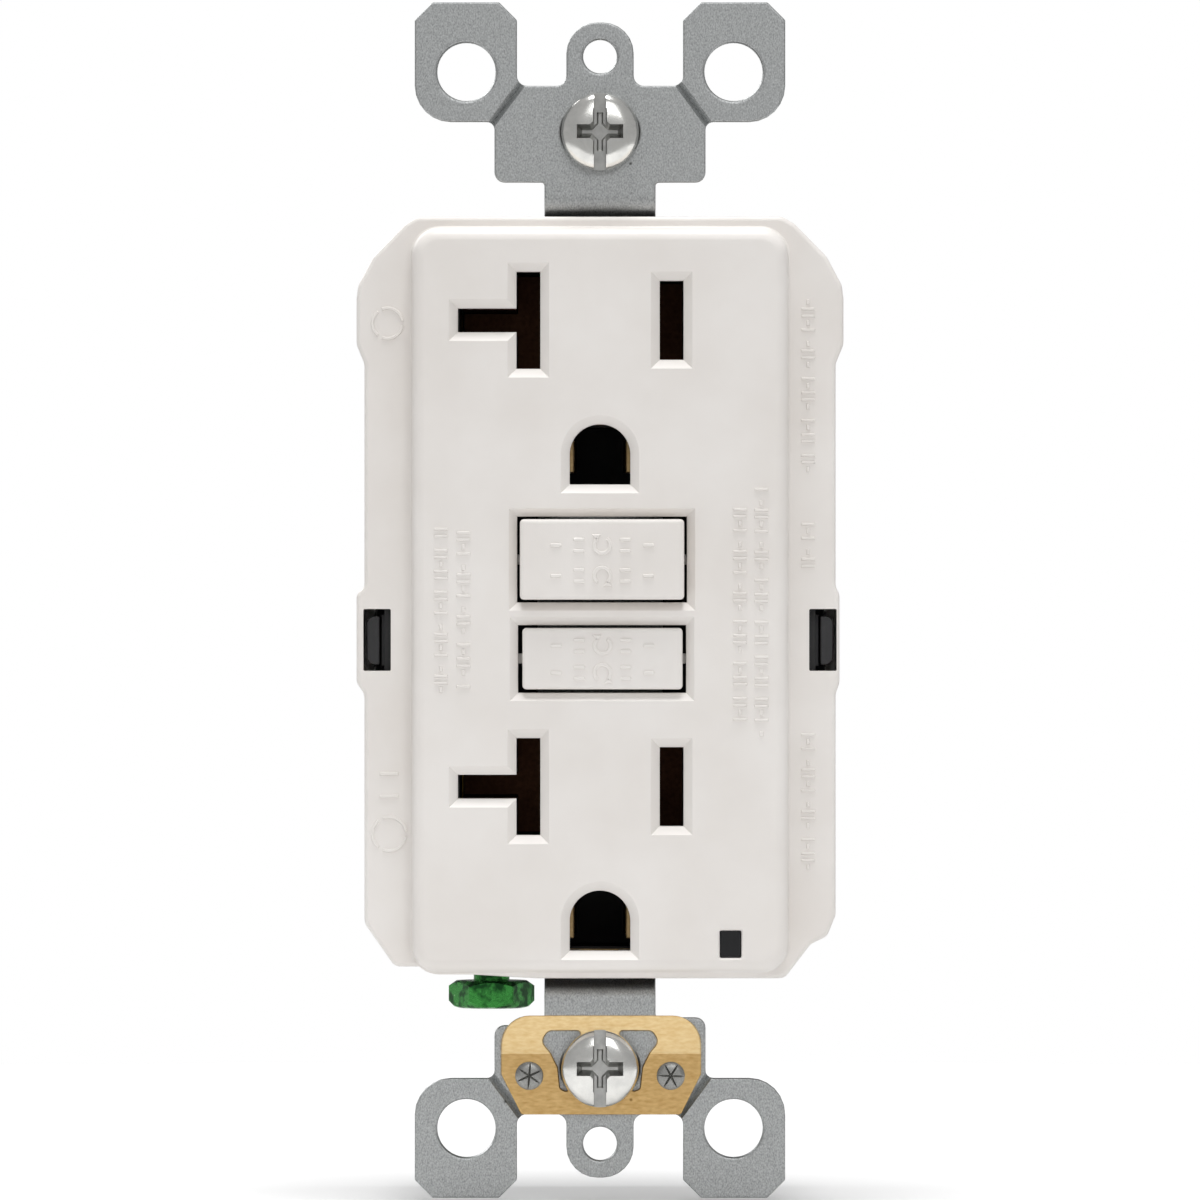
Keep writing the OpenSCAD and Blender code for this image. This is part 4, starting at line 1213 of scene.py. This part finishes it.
@dataclass
class Button:
    """One push button with its stop hooks and raised symbols.

    Attributes:
        name: The piece's name.
        node: The frame's node that it stands for.
        body: The moving body that carries it.
        centre: Middle of the cap.
        size: Width and height of the cap.
        front: Depth of the cap's front.
        rear: Depth of its rear.
        rows: Heights of the upright and the turned row of symbols.
        well: Depth of the spring's well, 0 without one.
        stem: Depth of the stem's end, 0 without one.
        flange: Front and rear of the stop hooks.
        hook_half: Half of a hook's height.
    """

    name: str
    node: str
    body: str
    centre: Point
    size: Point
    front: float
    rear: float
    rows: tuple[float, float]
    well: float = 0.0
    stem: float = 0.0
    flange: Point = (-4.2, -3.2)
    hook_half: float = 0.45

    def symbols(self) -> Solid:
        """Raises an upright row of plain symbols and the same row turned round below it.

        Returns:
            The symbols, as one solid.
        """
        solid = Solid()
        steps = [(0.0, self.front + 0.05), (0.0, self.front - 0.08), (-0.05, self.front - 0.13)]
        for row, z in enumerate(self.rows):
            way = 1 if row == 0 else -1
            for k in range(5):
                x = self.centre[0] + way * (k - 2) * 2.05
                if k == 2:
                    solid.loft(arc_outline(x, z, 0.72, 0.32, 125 + 90 * (1 - way), 415 + 90 * (1 - way)), steps)
                    tip = [(0.9, 0.95), (0.1, 0.95), (0.5, 0.42)]
                    solid.loft([(x - way * u, z + way * v) for u, v in tip], steps)
                elif k in (0, 4):
                    solid.loft(box_outline((x - 0.5, x + 0.5), (z - 0.15, z + 0.15), 0.1, 2), steps)
                else:
                    for lift in (-0.5, 0.5):
                        solid.loft(box_outline((x - 0.5, x + 0.5), (z + lift - 0.15, z + lift + 0.15), 0.1, 2), steps)
        return solid

    def build(self) -> None:
        """Builds the button and dresses it."""
        x, z = self.centre
        w, h = self.size[0] / 2, self.size[1] / 2
        outline = box_outline((x - w, x + w), (z - h, z + h), 0.35, 4)
        mesh = Solid().loft(outline, [
            (-0.34, self.front), (-0.2, self.front + 0.03), (-0.07, self.front + 0.12), (0.0, self.front + 0.3),
            (0.0, self.rear),
        ]).mesh("cap")
        hooks = box_outline((x - w - 1, x + w + 1), (z - self.hook_half, z + self.hook_half), 0.2, 3)
        rim = Solid().loft(hooks, [(-0.1, self.flange[0]), (0.0, self.flange[0] + 0.1), (0.0, self.flange[1])])
        mesh = carved(mesh, rim.mesh("hooks"), Carving.JOIN)
        if self.well:
            well = Solid().lathe((0.0, z), [(1.5, self.well - 0.3), (1.5, self.well), (3.3, self.well), (3.3, 0.5)])
            mesh = carved(mesh, well.mesh("well"))
        if self.stem:
            stem = Solid().lathe((0.0, z), [(1.3, self.rear - 0.5), (1.3, self.stem - 0.3), (1.0, self.stem)])
            mesh = carved(mesh, stem.mesh("stem"), Carving.JOIN)
        mesh = combined([mesh, self.symbols().mesh("symbols")], self.name)
        add_piece(self.name, mesh, WHITE_PLASTIC, self.body, [self.node], 28.0)


@dataclass
class Strap:
    """The mounting strap, its grounding clip, rivets and washers.

    Attributes:
        thickness: Thickness of the sheet.
        drop: How far the band lies behind the ears.
        screw_pitch: Distance between the box screws.
        ear_holes: Places of the ears' holes.
        clip_rivets: Places of the clip's rivets.
        neck: Heights where each neck leaves the ears' plane and reaches the band.
        neck_slices: Number of slices in the neck's bend.
        pin_holes: Heights of the two receptacles' ground pins.
    """

    thickness: float = 1.3
    drop: float = 3.2
    screw_pitch: float = 83.34
    ear_holes: Point = (11.9, 47.05)
    clip_rivets: Point = (6.3, -42.35)
    neck: Point = (36.4, 32.6)
    neck_slices: int = 16
    pin_holes: Point = (12.9, -28.45)

    def outline(self) -> Outline:
        """Draws the flat strap, from the upper ears to the lower ones.

        Returns:
            The outline.
        """
        end = [
            (3.0, 51.45, 2.94), (3.0, 45.8, 0.9), (7.4, 45.8, 0.9), (7.4, 51.65, 0.3), (9.0, 53.25, 0.3),
            (14.9, 53.25, 0.3), (16.5, 51.65, 0.3), (16.5, 42.6, 3.2), (9.4, 42.6, 0.7), (9.4, 37.2, 0.9),
            (4.95, 37.2, 0.3),
        ]
        side = [
            (4.95, 29.5, 0.0), (3.4, 29.5, 0.0), (3.4, 16.7, 0.3), (5.6, 16.7, 0.3), (5.6, 9.7, 0.3),
            (3.4, 9.7, 0.3), (3.4, 7.79, 0.3), (5.6, 7.79, 0.3), (5.6, -9.03, 0.3), (3.4, -9.03, 0.3),
            (3.4, -24.65, 0.3), (5.6, -24.65, 0.3),
        ]
        lower = [(x, -z, r) for x, z, r in reversed(end)]
        right = [*end, *side, (5.6, -31.65, 0.0), (4.95, -31.65, 0.0), *lower]
        left_lower = [(x, -37.9 if z == -37.2 else z, r) for x, z, r in lower]
        left = [*end, *side, (5.6, -29.6, 0.3), (13.1, -29.6, 0.8), (13.1, -32.9, 0.1), (4.95, -32.9, 0.3), *left_lower]
        return filleted([*right, *[(-x, z, r) for x, z, r in reversed(left)]], 6)

    def punch(self, outline: Outline, lip: float = 0.22) -> bpy.types.Mesh:
        """Makes the cutter of a punched hole, with a rolled edge on its front.

        Args:
            outline: The hole's outline.
            lip: Radius of the rolled edge.

        Returns:
            The cutter.
        """
        t = self.thickness
        steps = [(lip + 0.3, -t - 0.3), (lip, -t - 0.002), (lip * 0.3, -t + lip * 0.35), (0.0, -t + lip), (0.0, 0.6)]
        return Solid().loft(outline, steps).mesh("punch")

    def joggle(self, mesh: bpy.types.Mesh) -> None:
        """Bends the band back behind the cover, between the ears and the cover's ends.

        Args:
            mesh: The flat strap, which is changed.
        """
        start, end = self.neck
        work = bmesh.new()
        work.from_mesh(mesh)
        for sign in (-1, 1):
            for k in range(self.neck_slices + 1):
                level = sign * (end + (start - end) * k / self.neck_slices) * MM
                everything = [*work.verts, *work.edges, *work.faces]
                bmesh.ops.bisect_plane(work, geom=everything, dist=1e-7, plane_co=(0, 0, level), plane_no=(0, 0, 1))
        for vert in work.verts:
            share = min(max((start - abs(vert.co.z) / MM) / (start - end), 0.0), 1.0)
            vert.co.y += self.drop * MM * (3 * share**4 - 2 * share**6)
        work.to_mesh(mesh)
        work.free()

    def strap_mesh(self) -> bpy.types.Mesh:
        """Builds the strap: stamped flat, punched, scored, then bent.

        Returns:
            The mesh.
        """
        t = self.thickness
        mesh = Solid().loft(self.outline(), [
            (-0.18, -t), (-0.07, -t + 0.04), (-0.01, -t + 0.13), (0.0, -t + 0.25), (0.0, -0.08), (-0.06, 0.0),
        ]).mesh("strap")
        x, z = self.ear_holes
        holes = [circle_outline(sx * x, sz * z, 2.6) for sx in (-1, 1) for sz in (-1, 1)]
        holes += [circle_outline(0.0, sz * 48.42, 1.5) for sz in (-1, 1)]
        holes += [oval_outline(0.0, sz * self.screw_pitch / 2, 6.9, 4.2) for sz in (-1, 1)]
        for hole in holes:
            mesh = carved(mesh, self.punch(hole, 0.3))
        holes = [circle_outline(0.0, z, 3.3) for z in self.pin_holes]
        holes += [box_outline((-2.75, 2.75), (z - 2.8, z)) for z in self.pin_holes]
        holes += [circle_outline(0.0, 3.59, 1.7), circle_outline(0.0, -5.23, 1.5)]
        holes += [circle_outline(sx * 4.5, z, 0.8, 20) for sx in (-1, 1) for z in self.pin_holes]
        holes += [circle_outline(sx * self.clip_rivets[0], self.clip_rivets[1], 0.8, 20) for sx in (-1, 1)]
        for hole in holes:
            mesh = carved(mesh, self.punch(hole, 0.06))
        scores = Solid()
        for sx in (-1, 1):
            for sz in (-1, 1):
                scores.score((sx * 9.95, sz * 42.0), (sx * 6.75, sz * 46.3), 0.85, (-t - 0.05, -t + 0.42))
        mesh = carved(mesh, scores.mesh("score lines"))
        self.joggle(mesh)
        tab = box_outline((-13.22, -6.32), (1.9, 9.4), 0.5, 4)
        fold = Solid(Axis.Z).loft(tab, [(-0.1, -33.0), (0.0, -32.9), (0.0, -31.8), (-0.1, -31.7)]).mesh("ground tab")
        hole = Solid(Axis.Z).lathe((-9.72, 5.6), [(1.75, -34.0), (1.75, -30.0)]).mesh("ground hole")
        return carved(mesh, carved(fold, hole), Carving.JOIN)

    def clip_mesh(self) -> bpy.types.Mesh:
        """Builds the brass clip: rounded shoulders, two kidney windows and an upper part whose front slants back.

        Returns:
            The mesh.
        """
        front, rear = -self.thickness - 0.5, -self.thickness
        outline = filleted([
            (-8.8, -37.0, 3.3), (9.0, -37.0, 3.0), (9.0, -42.2, 0.4), (7.2, -45.8, 0.3),
            (-7.0, -45.8, 0.3), (-8.8, -42.2, 0.4),
        ], 9)
        mesh = Solid().loft(outline, [
            (-0.12, front), (-0.03, front + 0.04), (0.0, front + 0.12), (0.0, rear - 0.05), (-0.05, rear),
        ]).mesh("clip")
        for side in (-1, 1):
            kidney = filleted([(side * x, z, r) for x, z, r in [
                (1.55, -38.35, 0.3), (4.6, -38.35, 0.7), (5.25, -39.3, 0.8), (4.4, -40.3, 0.9), (3.75, -41.6, 0.9),
                (3.55, -43.5, 0.3), (2.9, -43.8, 0.25), (2.4, -42.6, 0.2), (2.5, -40.2, 0.5),
            ]], 5)
            window = Solid().loft(kidney, [(0.12, front - 0.05), (0.0, front + 0.1), (0.0, rear + 0.5)])
            mesh = carved(mesh, window.mesh("kidney"))
            place = (side * self.clip_rivets[0], self.clip_rivets[1])
            hole = Solid().lathe(place, [(0.8, front - 1), (0.8, rear + 1)], 24)
            mesh = carved(mesh, hole.mesh("rivet hole"))
        hole = Solid().lathe((0.0, -self.screw_pitch / 2), [(1.9, front - 1), (1.9, rear + 1)])
        mesh = carved(mesh, hole.mesh("screw hole"))
        work = bmesh.new()
        work.from_mesh(mesh)
        for level in (-40.4, -40.15):
            everything = [*work.verts, *work.edges, *work.faces]
            bmesh.ops.bisect_plane(work, geom=everything, dist=1e-7, plane_co=(0, 0, level * MM), plane_no=(0, 0, 1))
        for vert in work.verts:
            rise = vert.co.z / MM + 40.15
            if rise > 0 and vert.co.y < (rear - 0.2) * MM:
                vert.co.y += 0.11 * rise * MM
        work.to_mesh(mesh)
        work.free()
        return mesh

    def build(self) -> None:
        """Builds the strap, clip, rivets and washers, and dresses them."""
        add_piece("strap_stamping", self.strap_mesh(), GALVANISED, "root", ["mounting_strap"], 30.0)
        clip = add_piece("clip_stamping", self.clip_mesh(), BRASS, "root", ["self_ground_clip"], 20.0)
        # Faces above -40.35 mm take the paler brass: painted highlight on the clip's upper part
        clip.data.materials.append(HIGHLIGHT_BRASS.build())
        for face in clip.data.polygons:
            face.material_index = int(face.center.z > -40.35 * MM)
        heads = []
        for index, side in enumerate((-1, 1)):
            x, z = side * self.clip_rivets[0], self.clip_rivets[1]
            head = Solid().lathe((x, z), [
                (0.3, -2.17), (0.8, -2.15), (1.12, -2.06), (1.25, -1.92), (1.25, -1.81), (0.78, -1.8), (0.78, -0.05),
            ], 36).mesh("rivet")
            for k in range(3):
                angle = math.radians(60 * k + 25 + 33 * index)
                along = Vector((math.cos(angle), math.sin(angle))) * 1.4
                start, end = (x - along.x, z - along.y), (x + along.x, z + along.y)
                head = carved(head, Solid().score(start, end, 0.3, (-2.25, -2.0 - 0.01 * k)).mesh("strike"))
            heads.append(head)
        add_piece("staked_rivets", combined(heads, "rivets"), STAKED_STEEL, "root", ["clip_rivets"])
        rings = []
        for z in (-self.screw_pitch / 2, self.screw_pitch / 2):
            disc = Solid().lathe((0.0, z), [(4.42, 0.0), (4.5, 0.08), (4.5, 0.72), (4.42, 0.8)]).mesh("washer")
            rings.append(carved(disc, Solid().lathe((0.0, z), [(1.8, -1.0), (1.8, 2.0)]).mesh("bore")))
        add_piece("fibre_washers", combined(rings, "washers"), FIBRE, "root", ["retaining_washers"])


@dataclass
class Screw:
    """A machine screw with a slotted cross recess and a real thread.

    Attributes:
        name: The piece's name.
        node: The frame's node that it stands for.
        body: The moving body that carries it.
        axis: The direction that it points along.
        centre: Where its axis crosses the outline's plane.
        seat: Where the head's underside lies on the axis.
        way: 1 when it points along the axis, -1 when against it.
        head: Radius and height of the head.
        shank: Radius of the plain neck and of the thread.
        length: Length under the head.
        undercut: Length of the plain neck.
        pitch: Distance between the thread's turns.
        finish: The screw's material.
        recess: Half width of the slot, reach of the cross and half width of its arms.
        shade_painted: The material down in the recess, darker to paint its shade, if it differs.
    """

    name: str
    node: str
    body: str
    axis: Axis
    centre: Point
    seat: float
    way: int
    head: tuple[float, float]
    shank: tuple[float, float]
    length: float
    undercut: float
    pitch: float
    finish: Finish
    recess: tuple[float, float, float] = (0.52, 2.0, 0.55)
    shade_painted: Finish | None = None

    def in_recess(self, place: Vector) -> bool:
        """Tells whether a place lies inside the head's slot or cross.

        Args:
            place: A point in metres.

        Returns:
            True below the dome and inside the rim.
        """
        radius, height = self.head
        axial = {Axis.X: place.x, Axis.Y: place.y, Axis.Z: place.z}[self.axis] / MM
        flat = self.axis.place(*self.centre, axial)
        share = (place - flat).length / MM / radius
        depth = self.way * (axial - self.seat) + height
        below_dome = 0.12 + max(0.0, share - 0.35) ** 2 * 1.9
        inside_rim, above_seat = share < 0.97, depth < height - 0.15
        return inside_rim and above_seat and below_dome < depth

    def mesh(self) -> bpy.types.Mesh:
        """Builds the screw: head, recess and threaded shank.

        Returns:
            The mesh.
        """
        radius, height = self.head
        seat, way = self.seat, self.way
        top = seat - way * height

        def down(depth: float) -> float:
            """Gives the place at a depth below the head's top.

            Args:
                depth: The depth in millimetres.

            Returns:
                The coordinate along the axis.
            """
            return top + way * depth

        head = Solid(self.axis).lathe(self.centre, [
            (radius * 0.35, down(0.0)), (radius * 0.62, down(0.07)), (radius * 0.82, down(0.24)),
            (radius * 0.93, down(0.5)), (radius * 0.985, down(0.78)), (radius, down(1.0)),
            (radius, seat - way * 0.12), (radius - 0.12, seat),
        ], 64).mesh("head")
        u, v = self.centre
        slot, reach, arm = self.recess
        full = box_outline((u - slot, u + slot), (v - radius - 1, v + radius + 1))
        head = carved(head, Solid(self.axis).loft(full, [(0.05, down(-0.5)), (0.0, down(1.1))]).mesh("slot"))
        flare = 0.32
        cross = [
            (u - reach, v - arm), (u - arm - flare, v - arm), (u - arm, v - arm - flare), (u - arm, v - reach),
            (u + arm, v - reach), (u + arm, v - arm - flare), (u + arm + flare, v - arm), (u + reach, v - arm),
            (u + reach, v + arm), (u + arm + flare, v + arm), (u + arm, v + arm + flare), (u + arm, v + reach),
            (u - arm, v + reach), (u - arm, v + arm + flare), (u - arm - flare, v + arm), (u - reach, v + arm),
        ]
        deep = min(1.5, height - 0.25)
        steps = [(0.1, down(-0.5)), (0.06, down(0.2)), (-0.75 * arm, down(deep))]
        head = carved(head, Solid(self.axis).loft(cross, steps).mesh("cross"))
        neck, outer = self.shank
        shank = Solid(self.axis).lathe(self.centre, [(neck, seat - way * 0.1), (neck, seat + way * self.undercut)], 32)
        shank.thread(self.centre, outer, (seat + way * (self.undercut - 0.05), seat + way * self.length), self.pitch)
        return combined([head, shank.mesh("shank")], self.name)

    def build(self) -> None:
        """Builds the screw and dresses it."""
        screw = add_piece(self.name, self.mesh(), self.finish, self.body, [self.node], 36.0)
        # Faces down in the slot and cross take the darker zinc: painted shade in the recess
        if self.shade_painted:
            screw.data.materials.append(self.shade_painted.build())
            for face in screw.data.polygons:
                face.material_index = int(self.in_recess(face.center))


@dataclass
class GroundScrew:
    """The green hexagon-headed ground screw.

    Attributes:
        centre: Where its axis crosses the level plane.
        radius: Radius over the hexagon's corners.
        depths: Lower and upper end of the head.
    """

    centre: Point = (-9.72, 5.6)
    radius: float = 3.865
    depths: Point = (-36.55, -34.1)

    def build(self) -> None:
        """Builds the screw and dresses it."""
        low, high = self.depths
        x, y = self.centre
        turns = [math.radians(60 * k) for k in range(6)]
        hexagon = [(x + self.radius * math.cos(a), y + self.radius * math.sin(a), 0.15) for a in turns]
        prism = Solid(Axis.Z).loft(filleted(hexagon, 3), [(0.0, low), (0.0, high)]).mesh("hexagon")
        cone = Solid(Axis.Z).lathe(self.centre, [
            (self.radius - 0.95, low), (self.radius - 0.5, low + 0.14), (self.radius + 0.02, low + 0.7),
            (self.radius + 0.02, high - 0.5), (self.radius - 0.7, high),
        ], 96).mesh("turned cone")
        head = carved(prism, cone, Carving.SHARE)
        along, across = Vector((0.5, math.sin(math.pi / 3))) * 2.5, Vector((-math.sin(math.pi / 3), 0.5)) * 0.55
        corners = (-along - across, along - across, along + across, across - along)
        outline = [(x + corner.x, y + corner.y) for corner in corners]
        slot = Solid(Axis.Z).loft(outline, [(0.05, low - 0.5), (0.0, low + 0.9)])
        head = carved(head, slot.mesh("slot"))
        shank = Solid(Axis.Z).lathe(self.centre, [(1.6, high - 0.1), (1.6, high + 0.8)], 32)
        shank.thread(self.centre, 1.7, (high + 0.75, -27.2), 0.794)
        mesh = combined([head, shank.mesh("shank")], "ground_screw_piece")
        add_piece("ground_screw_piece", mesh, GREEN, "ground_screw", ["ground_screw"], 34.0)


@dataclass
class Springs:
    """The four coil springs and the small pair in the latch."""

    def build(self) -> None:
        """Builds every spring, four of them with a mesh of their own."""
        reset = Solid().coil((0.0, 3.59), 2.55, 0.68, (-5.9, 1.9), 6.5).mesh("reset coil")
        piece = add_piece("reset_coil", reset, SPRING, "root", ["reset_spring"])
        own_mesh(piece)
        test = Solid().coil((0.0, -5.23), 2.0, 0.58, (-3.2, 1.9), 5.5).mesh("test coil")
        piece = add_piece("test_coil", test, SPRING, "root", ["test_spring"])
        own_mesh(piece)
        lifter = Solid().coil((0.0, 3.59), 2.4, 0.38, (12.2, 15.0), 4.5).mesh("lifter coil")
        piece = add_piece("lifter_coil", lifter, SPRING, "root", ["lifter_spring"])
        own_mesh(piece)
        plunger = Solid(Axis.Z).coil((0.0, 17.9), 2.7, 0.5, (-8.1, -3.9), 5.0).mesh("plunger coil")
        piece = add_piece("plunger_coil", plunger, SPRING, "root", ["plunger_spring"])
        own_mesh(piece)
        latch = Solid(Axis.Z)
        for x in (-0.75, 0.75):
            latch.coil((x, 16.1), 0.22, 0.12, (6.4, 8.0), 6.0)
        add_piece("latch_coils", latch.mesh("latch coils"), SPRING, "lifter", ["latch_spring"])


@dataclass
class Inside:
    """Everything behind the cover that keeps the frame's own shapes."""

    finishes: dict[str, tuple[Finish, float]] = field(default_factory=lambda: {
        # The light pipe's near-black colour is painted shade of the recess behind it
        "light_pipe": (SHADE_PAINTED_LENS, 0.15),
        "reset_pin": (NICKEL, 0.1),
        # The bronze contacts' dark colour is painted shade
        "test_contact": (BRONZE_IN_SHADE, 0.05),
        "ground_contact_upper": (GROUND_BRASS, 0.08),
        "ground_contact_lower": (GROUND_BRASS, 0.08),
        "ground_contact_rivets": (BRASS, 0.1),
        "middle_frame": (BLACK_PLASTIC, 0.12),
        "hot_contact_strip": (BRONZE_IN_SHADE, 0.08),
        "neutral_contact_strip": (BRONZE_IN_SHADE, 0.08),
        "fixed_contact_rivets": (SILVER, 0.15),
        "hot_contact_arm": (BRONZE_IN_SHADE, 0.08),
        "neutral_contact_arm": (BRONZE_IN_SHADE, 0.08),
        "hot_moving_contact": (SILVER, 0.15),
        "neutral_moving_contact": (SILVER, 0.15),
        "latch_lifter": (NYLON, 0.15),
        "latch_plate": (NICKEL, 0.06),
        "solenoid_bobbin": (NYLON, 0.12),
        "solenoid_winding": (COPPER, 0.1),
        "solenoid_frame": (NICKEL, 0.12),
        "solenoid_plunger": (NICKEL, 0.12),
        "sense_cores": (CORE, 0.15),
        "sense_windings": (COPPER, 0.3),
        "transformer_holder": (NYLON, 0.15),
        "sense_conductors": (BRONZE_IN_SHADE, 0.15),
        "line_terminal_plates": (BRASS_TERMINAL, 0.12),
        "load_terminal_plates": (BRASS_TERMINAL, 0.12),
        "clamp_plate_line_hot": (BRASS_TERMINAL, 0.25),
        "clamp_plate_load_hot": (BRASS_TERMINAL, 0.25),
        "clamp_plate_line_neutral": (SILVER_TERMINAL, 0.25),
        "clamp_plate_load_neutral": (SILVER_TERMINAL, 0.25),
        "circuit_board": (BOARD, 0.05),
        "indicator_led": (LED_LENS, 0.3),
        "control_chip": (BLACK_PACKAGE, 0.1),
        "thyristor": (BLACK_PACKAGE, 0.1),
        "varistor": (BLUE_DIP, 0.6),
        "film_capacitor": (RED_DIP, 0.6),
        "electrolytic_capacitor": (SLEEVE, 0.25),
        "resistors_and_diodes": (RESISTOR, 0.25),
        "rear_housing": (DARK_PLASTIC, 0.25),
    })

    def build(self, frame: dict) -> None:
        """Dresses each node that stays.

        Args:
            frame: The loaded frame.
        """
        for node, (finish, rounding) in self.finishes.items():
            dress(frame, node, finish, rounding)


@dataclass
class Studio:
    """The plain floor, the soft light and the camera.

    Attributes:
        distance: How far the camera stands away.
        width: Width of what it sees at the object.
        floor_level: Height of the floor.
        floor_radius: Radius of the floor.
        sky: Strength of the light from all round.
    """

    distance: float = 1.0
    width: float = 0.107
    floor_level: float = -0.0536
    floor_radius: float = 0.3
    sky: float = 0.42

    def light(self, name: str, place: Sequence[float], size: float, power: float) -> None:
        """Adds a soft square light aimed at the object.

        Args:
            name: The light's name.
            place: Where it stands.
            size: Its side.
            power: Its power in watts.
        """
        data = bpy.data.lights.new(name, "AREA")
        data.shape = "SQUARE"
        data.size = size
        data.energy = power
        obj = bpy.data.objects.new(name, data)
        bpy.context.scene.collection.objects.link(obj)
        obj.location = place
        obj.rotation_euler = (-Vector(place)).to_track_quat("-Z", "Y").to_euler()

    def build(self) -> None:
        """Builds the floor, the lights and the camera."""
        scene = bpy.context.scene
        scene.view_settings.view_transform = "Standard"
        rim, level = self.floor_radius / MM, self.floor_level / MM
        floor = Solid(Axis.Z).lathe((0.0, 0.0), [(rim, level - 5), (rim, level)], 96)
        obj = bpy.data.objects.new("floor", floor.mesh("floor"))
        scene.collection.objects.link(obj)
        paper = bpy.data.materials.new("matt white paper")
        paper.use_nodes = True
        shader = paper.node_tree.nodes["Principled BSDF"]
        shader.inputs["Base Color"].default_value = linear("#d2d2d2")
        shader.inputs["Roughness"].default_value = 0.9
        shader.inputs["Specular IOR Level"].default_value = 0.1
        shader.inputs["Emission Color"].default_value = (1.0, 1.0, 1.0, 1.0)
        shader.inputs["Emission Strength"].default_value = 0.2
        obj.data.materials.append(paper)
        world = bpy.data.worlds.new("studio")
        scene.world = world
        world.use_nodes = True
        tree = world.node_tree
        tree.nodes.clear()
        seen = put(tree, "ShaderNodeLightPath").outputs["Is Camera Ray"]
        strength = put(tree, "ShaderNodeMapRange", {"Value": seen, "To Min": self.sky, "To Max": 1.0})
        back = put(tree, "ShaderNodeBackground", {"Color": (1.0, 1.0, 1.0, 1.0), "Strength": strength.outputs[0]})
        put(tree, "ShaderNodeOutputWorld", {"Surface": back.outputs[0]})
        self.light("overhead", (0.0, -0.12, 1.1), 0.5, 10.2)
        self.light("front", (0.12, -1.1, 0.65), 0.6, 3.3)
        self.light("rear fill", (-0.6, 1.0, 0.7), 0.9, 8.0)
        lens = bpy.data.cameras.new("camera")
        lens.sensor_width = 36.0
        lens.lens = lens.sensor_width * self.distance / self.width
        lens.clip_start = 0.01
        camera = bpy.data.objects.new("camera", lens)
        scene.collection.objects.link(camera)
        camera.location = (0.0, -self.distance, 0.0)
        camera.rotation_euler = (math.radians(90), 0.0, 0.0)
        scene.camera = camera


def screws() -> list[Screw]:
    """Lists the box screws, terminal screws and assembly screws.

    Returns:
        The screws, ready to build.
    """
    # The box screws take the darker zinc in their recesses: painted shade
    box = dict(axis=Axis.Y, way=1, head=(3.45, 1.9), shank=(1.62, 1.75), length=25.4, pitch=0.794, finish=ZINC,
               shade_painted=RECESS_SHADE_ZINC)
    made = [
        Screw(f"box_screw_{end}_piece", f"box_screw_{end}", f"box_screw_{end}", centre=(0.0, z), seat=seat,
              undercut=undercut, **box)
        for end, z, seat, undercut in (("upper", 41.67, -1.4, 2.6), ("lower", -41.67, -1.9, 3.1))
    ]
    for end, z in (("line", -20.2), ("load", 20.2)):
        for pole, side, finish in (("hot", 1, BRASS_TERMINAL), ("neutral", -1, SILVER_TERMINAL)):
            made.append(Screw(
                f"terminal_screw_{end}_{pole}_piece", f"terminal_screw_{end}_{pole}", f"screw_{end}_{pole}",
                axis=Axis.X, centre=(10.5, z), seat=side * 17.2, way=-side, head=(3.6, 2.2), shank=(1.6, 1.7),
                length=5.8, undercut=0.3, pitch=0.794, finish=finish, recess=(0.6, 1.9, 0.5),
            ))
    return made


def assembly_screws() -> None:
    """Builds the four long screws that hold the housing to the cover."""
    meshes = []
    for x in (-15.8, 15.8):
        for z in (-28.6, 28.6):
            screw = Screw(
                "assembly", "assembly_screws", "root", Axis.Y, (x, z), seat=24.1, way=-1, head=(2.15, 1.7),
                shank=(1.02, 1.1), length=24.1, undercut=0.6, pitch=0.9, finish=ZINC, recess=(0.3, 1.3, 0.33),
            )
            meshes.append(screw.mesh())
    add_piece("assembly_screw_set", combined(meshes, "assembly screws"), ZINC, "root", ["assembly_screws"], 36.0)


def main() -> None:
    """Builds the outlet around its frame, then the studio."""
    logging.basicConfig(level=logging.INFO, format="%(name)s: %(message)s", stream=sys.stdout)
    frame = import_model()
    Cover().build()
    Button(
        "reset_cap", "reset_button", "reset", centre=(0.18, 3.59), size=(14.55, 7.12), front=-7.76, rear=-1.6,
        rows=(4.85, 2.15), well=-5.9,
    ).build()
    Button(
        "test_cap", "test_button", "test", centre=(0.22, -5.2), size=(14.2, 5.44), front=-6.5, rear=-3.2,
        rows=(-4.05, -6.45), stem=9.8,
    ).build()
    Strap().build()
    for screw in screws():
        screw.build()
    assembly_screws()
    GroundScrew().build()
    Springs().build()
    Inside().build(frame)
    Studio().build()


if __name__ == "__main__":
    main()
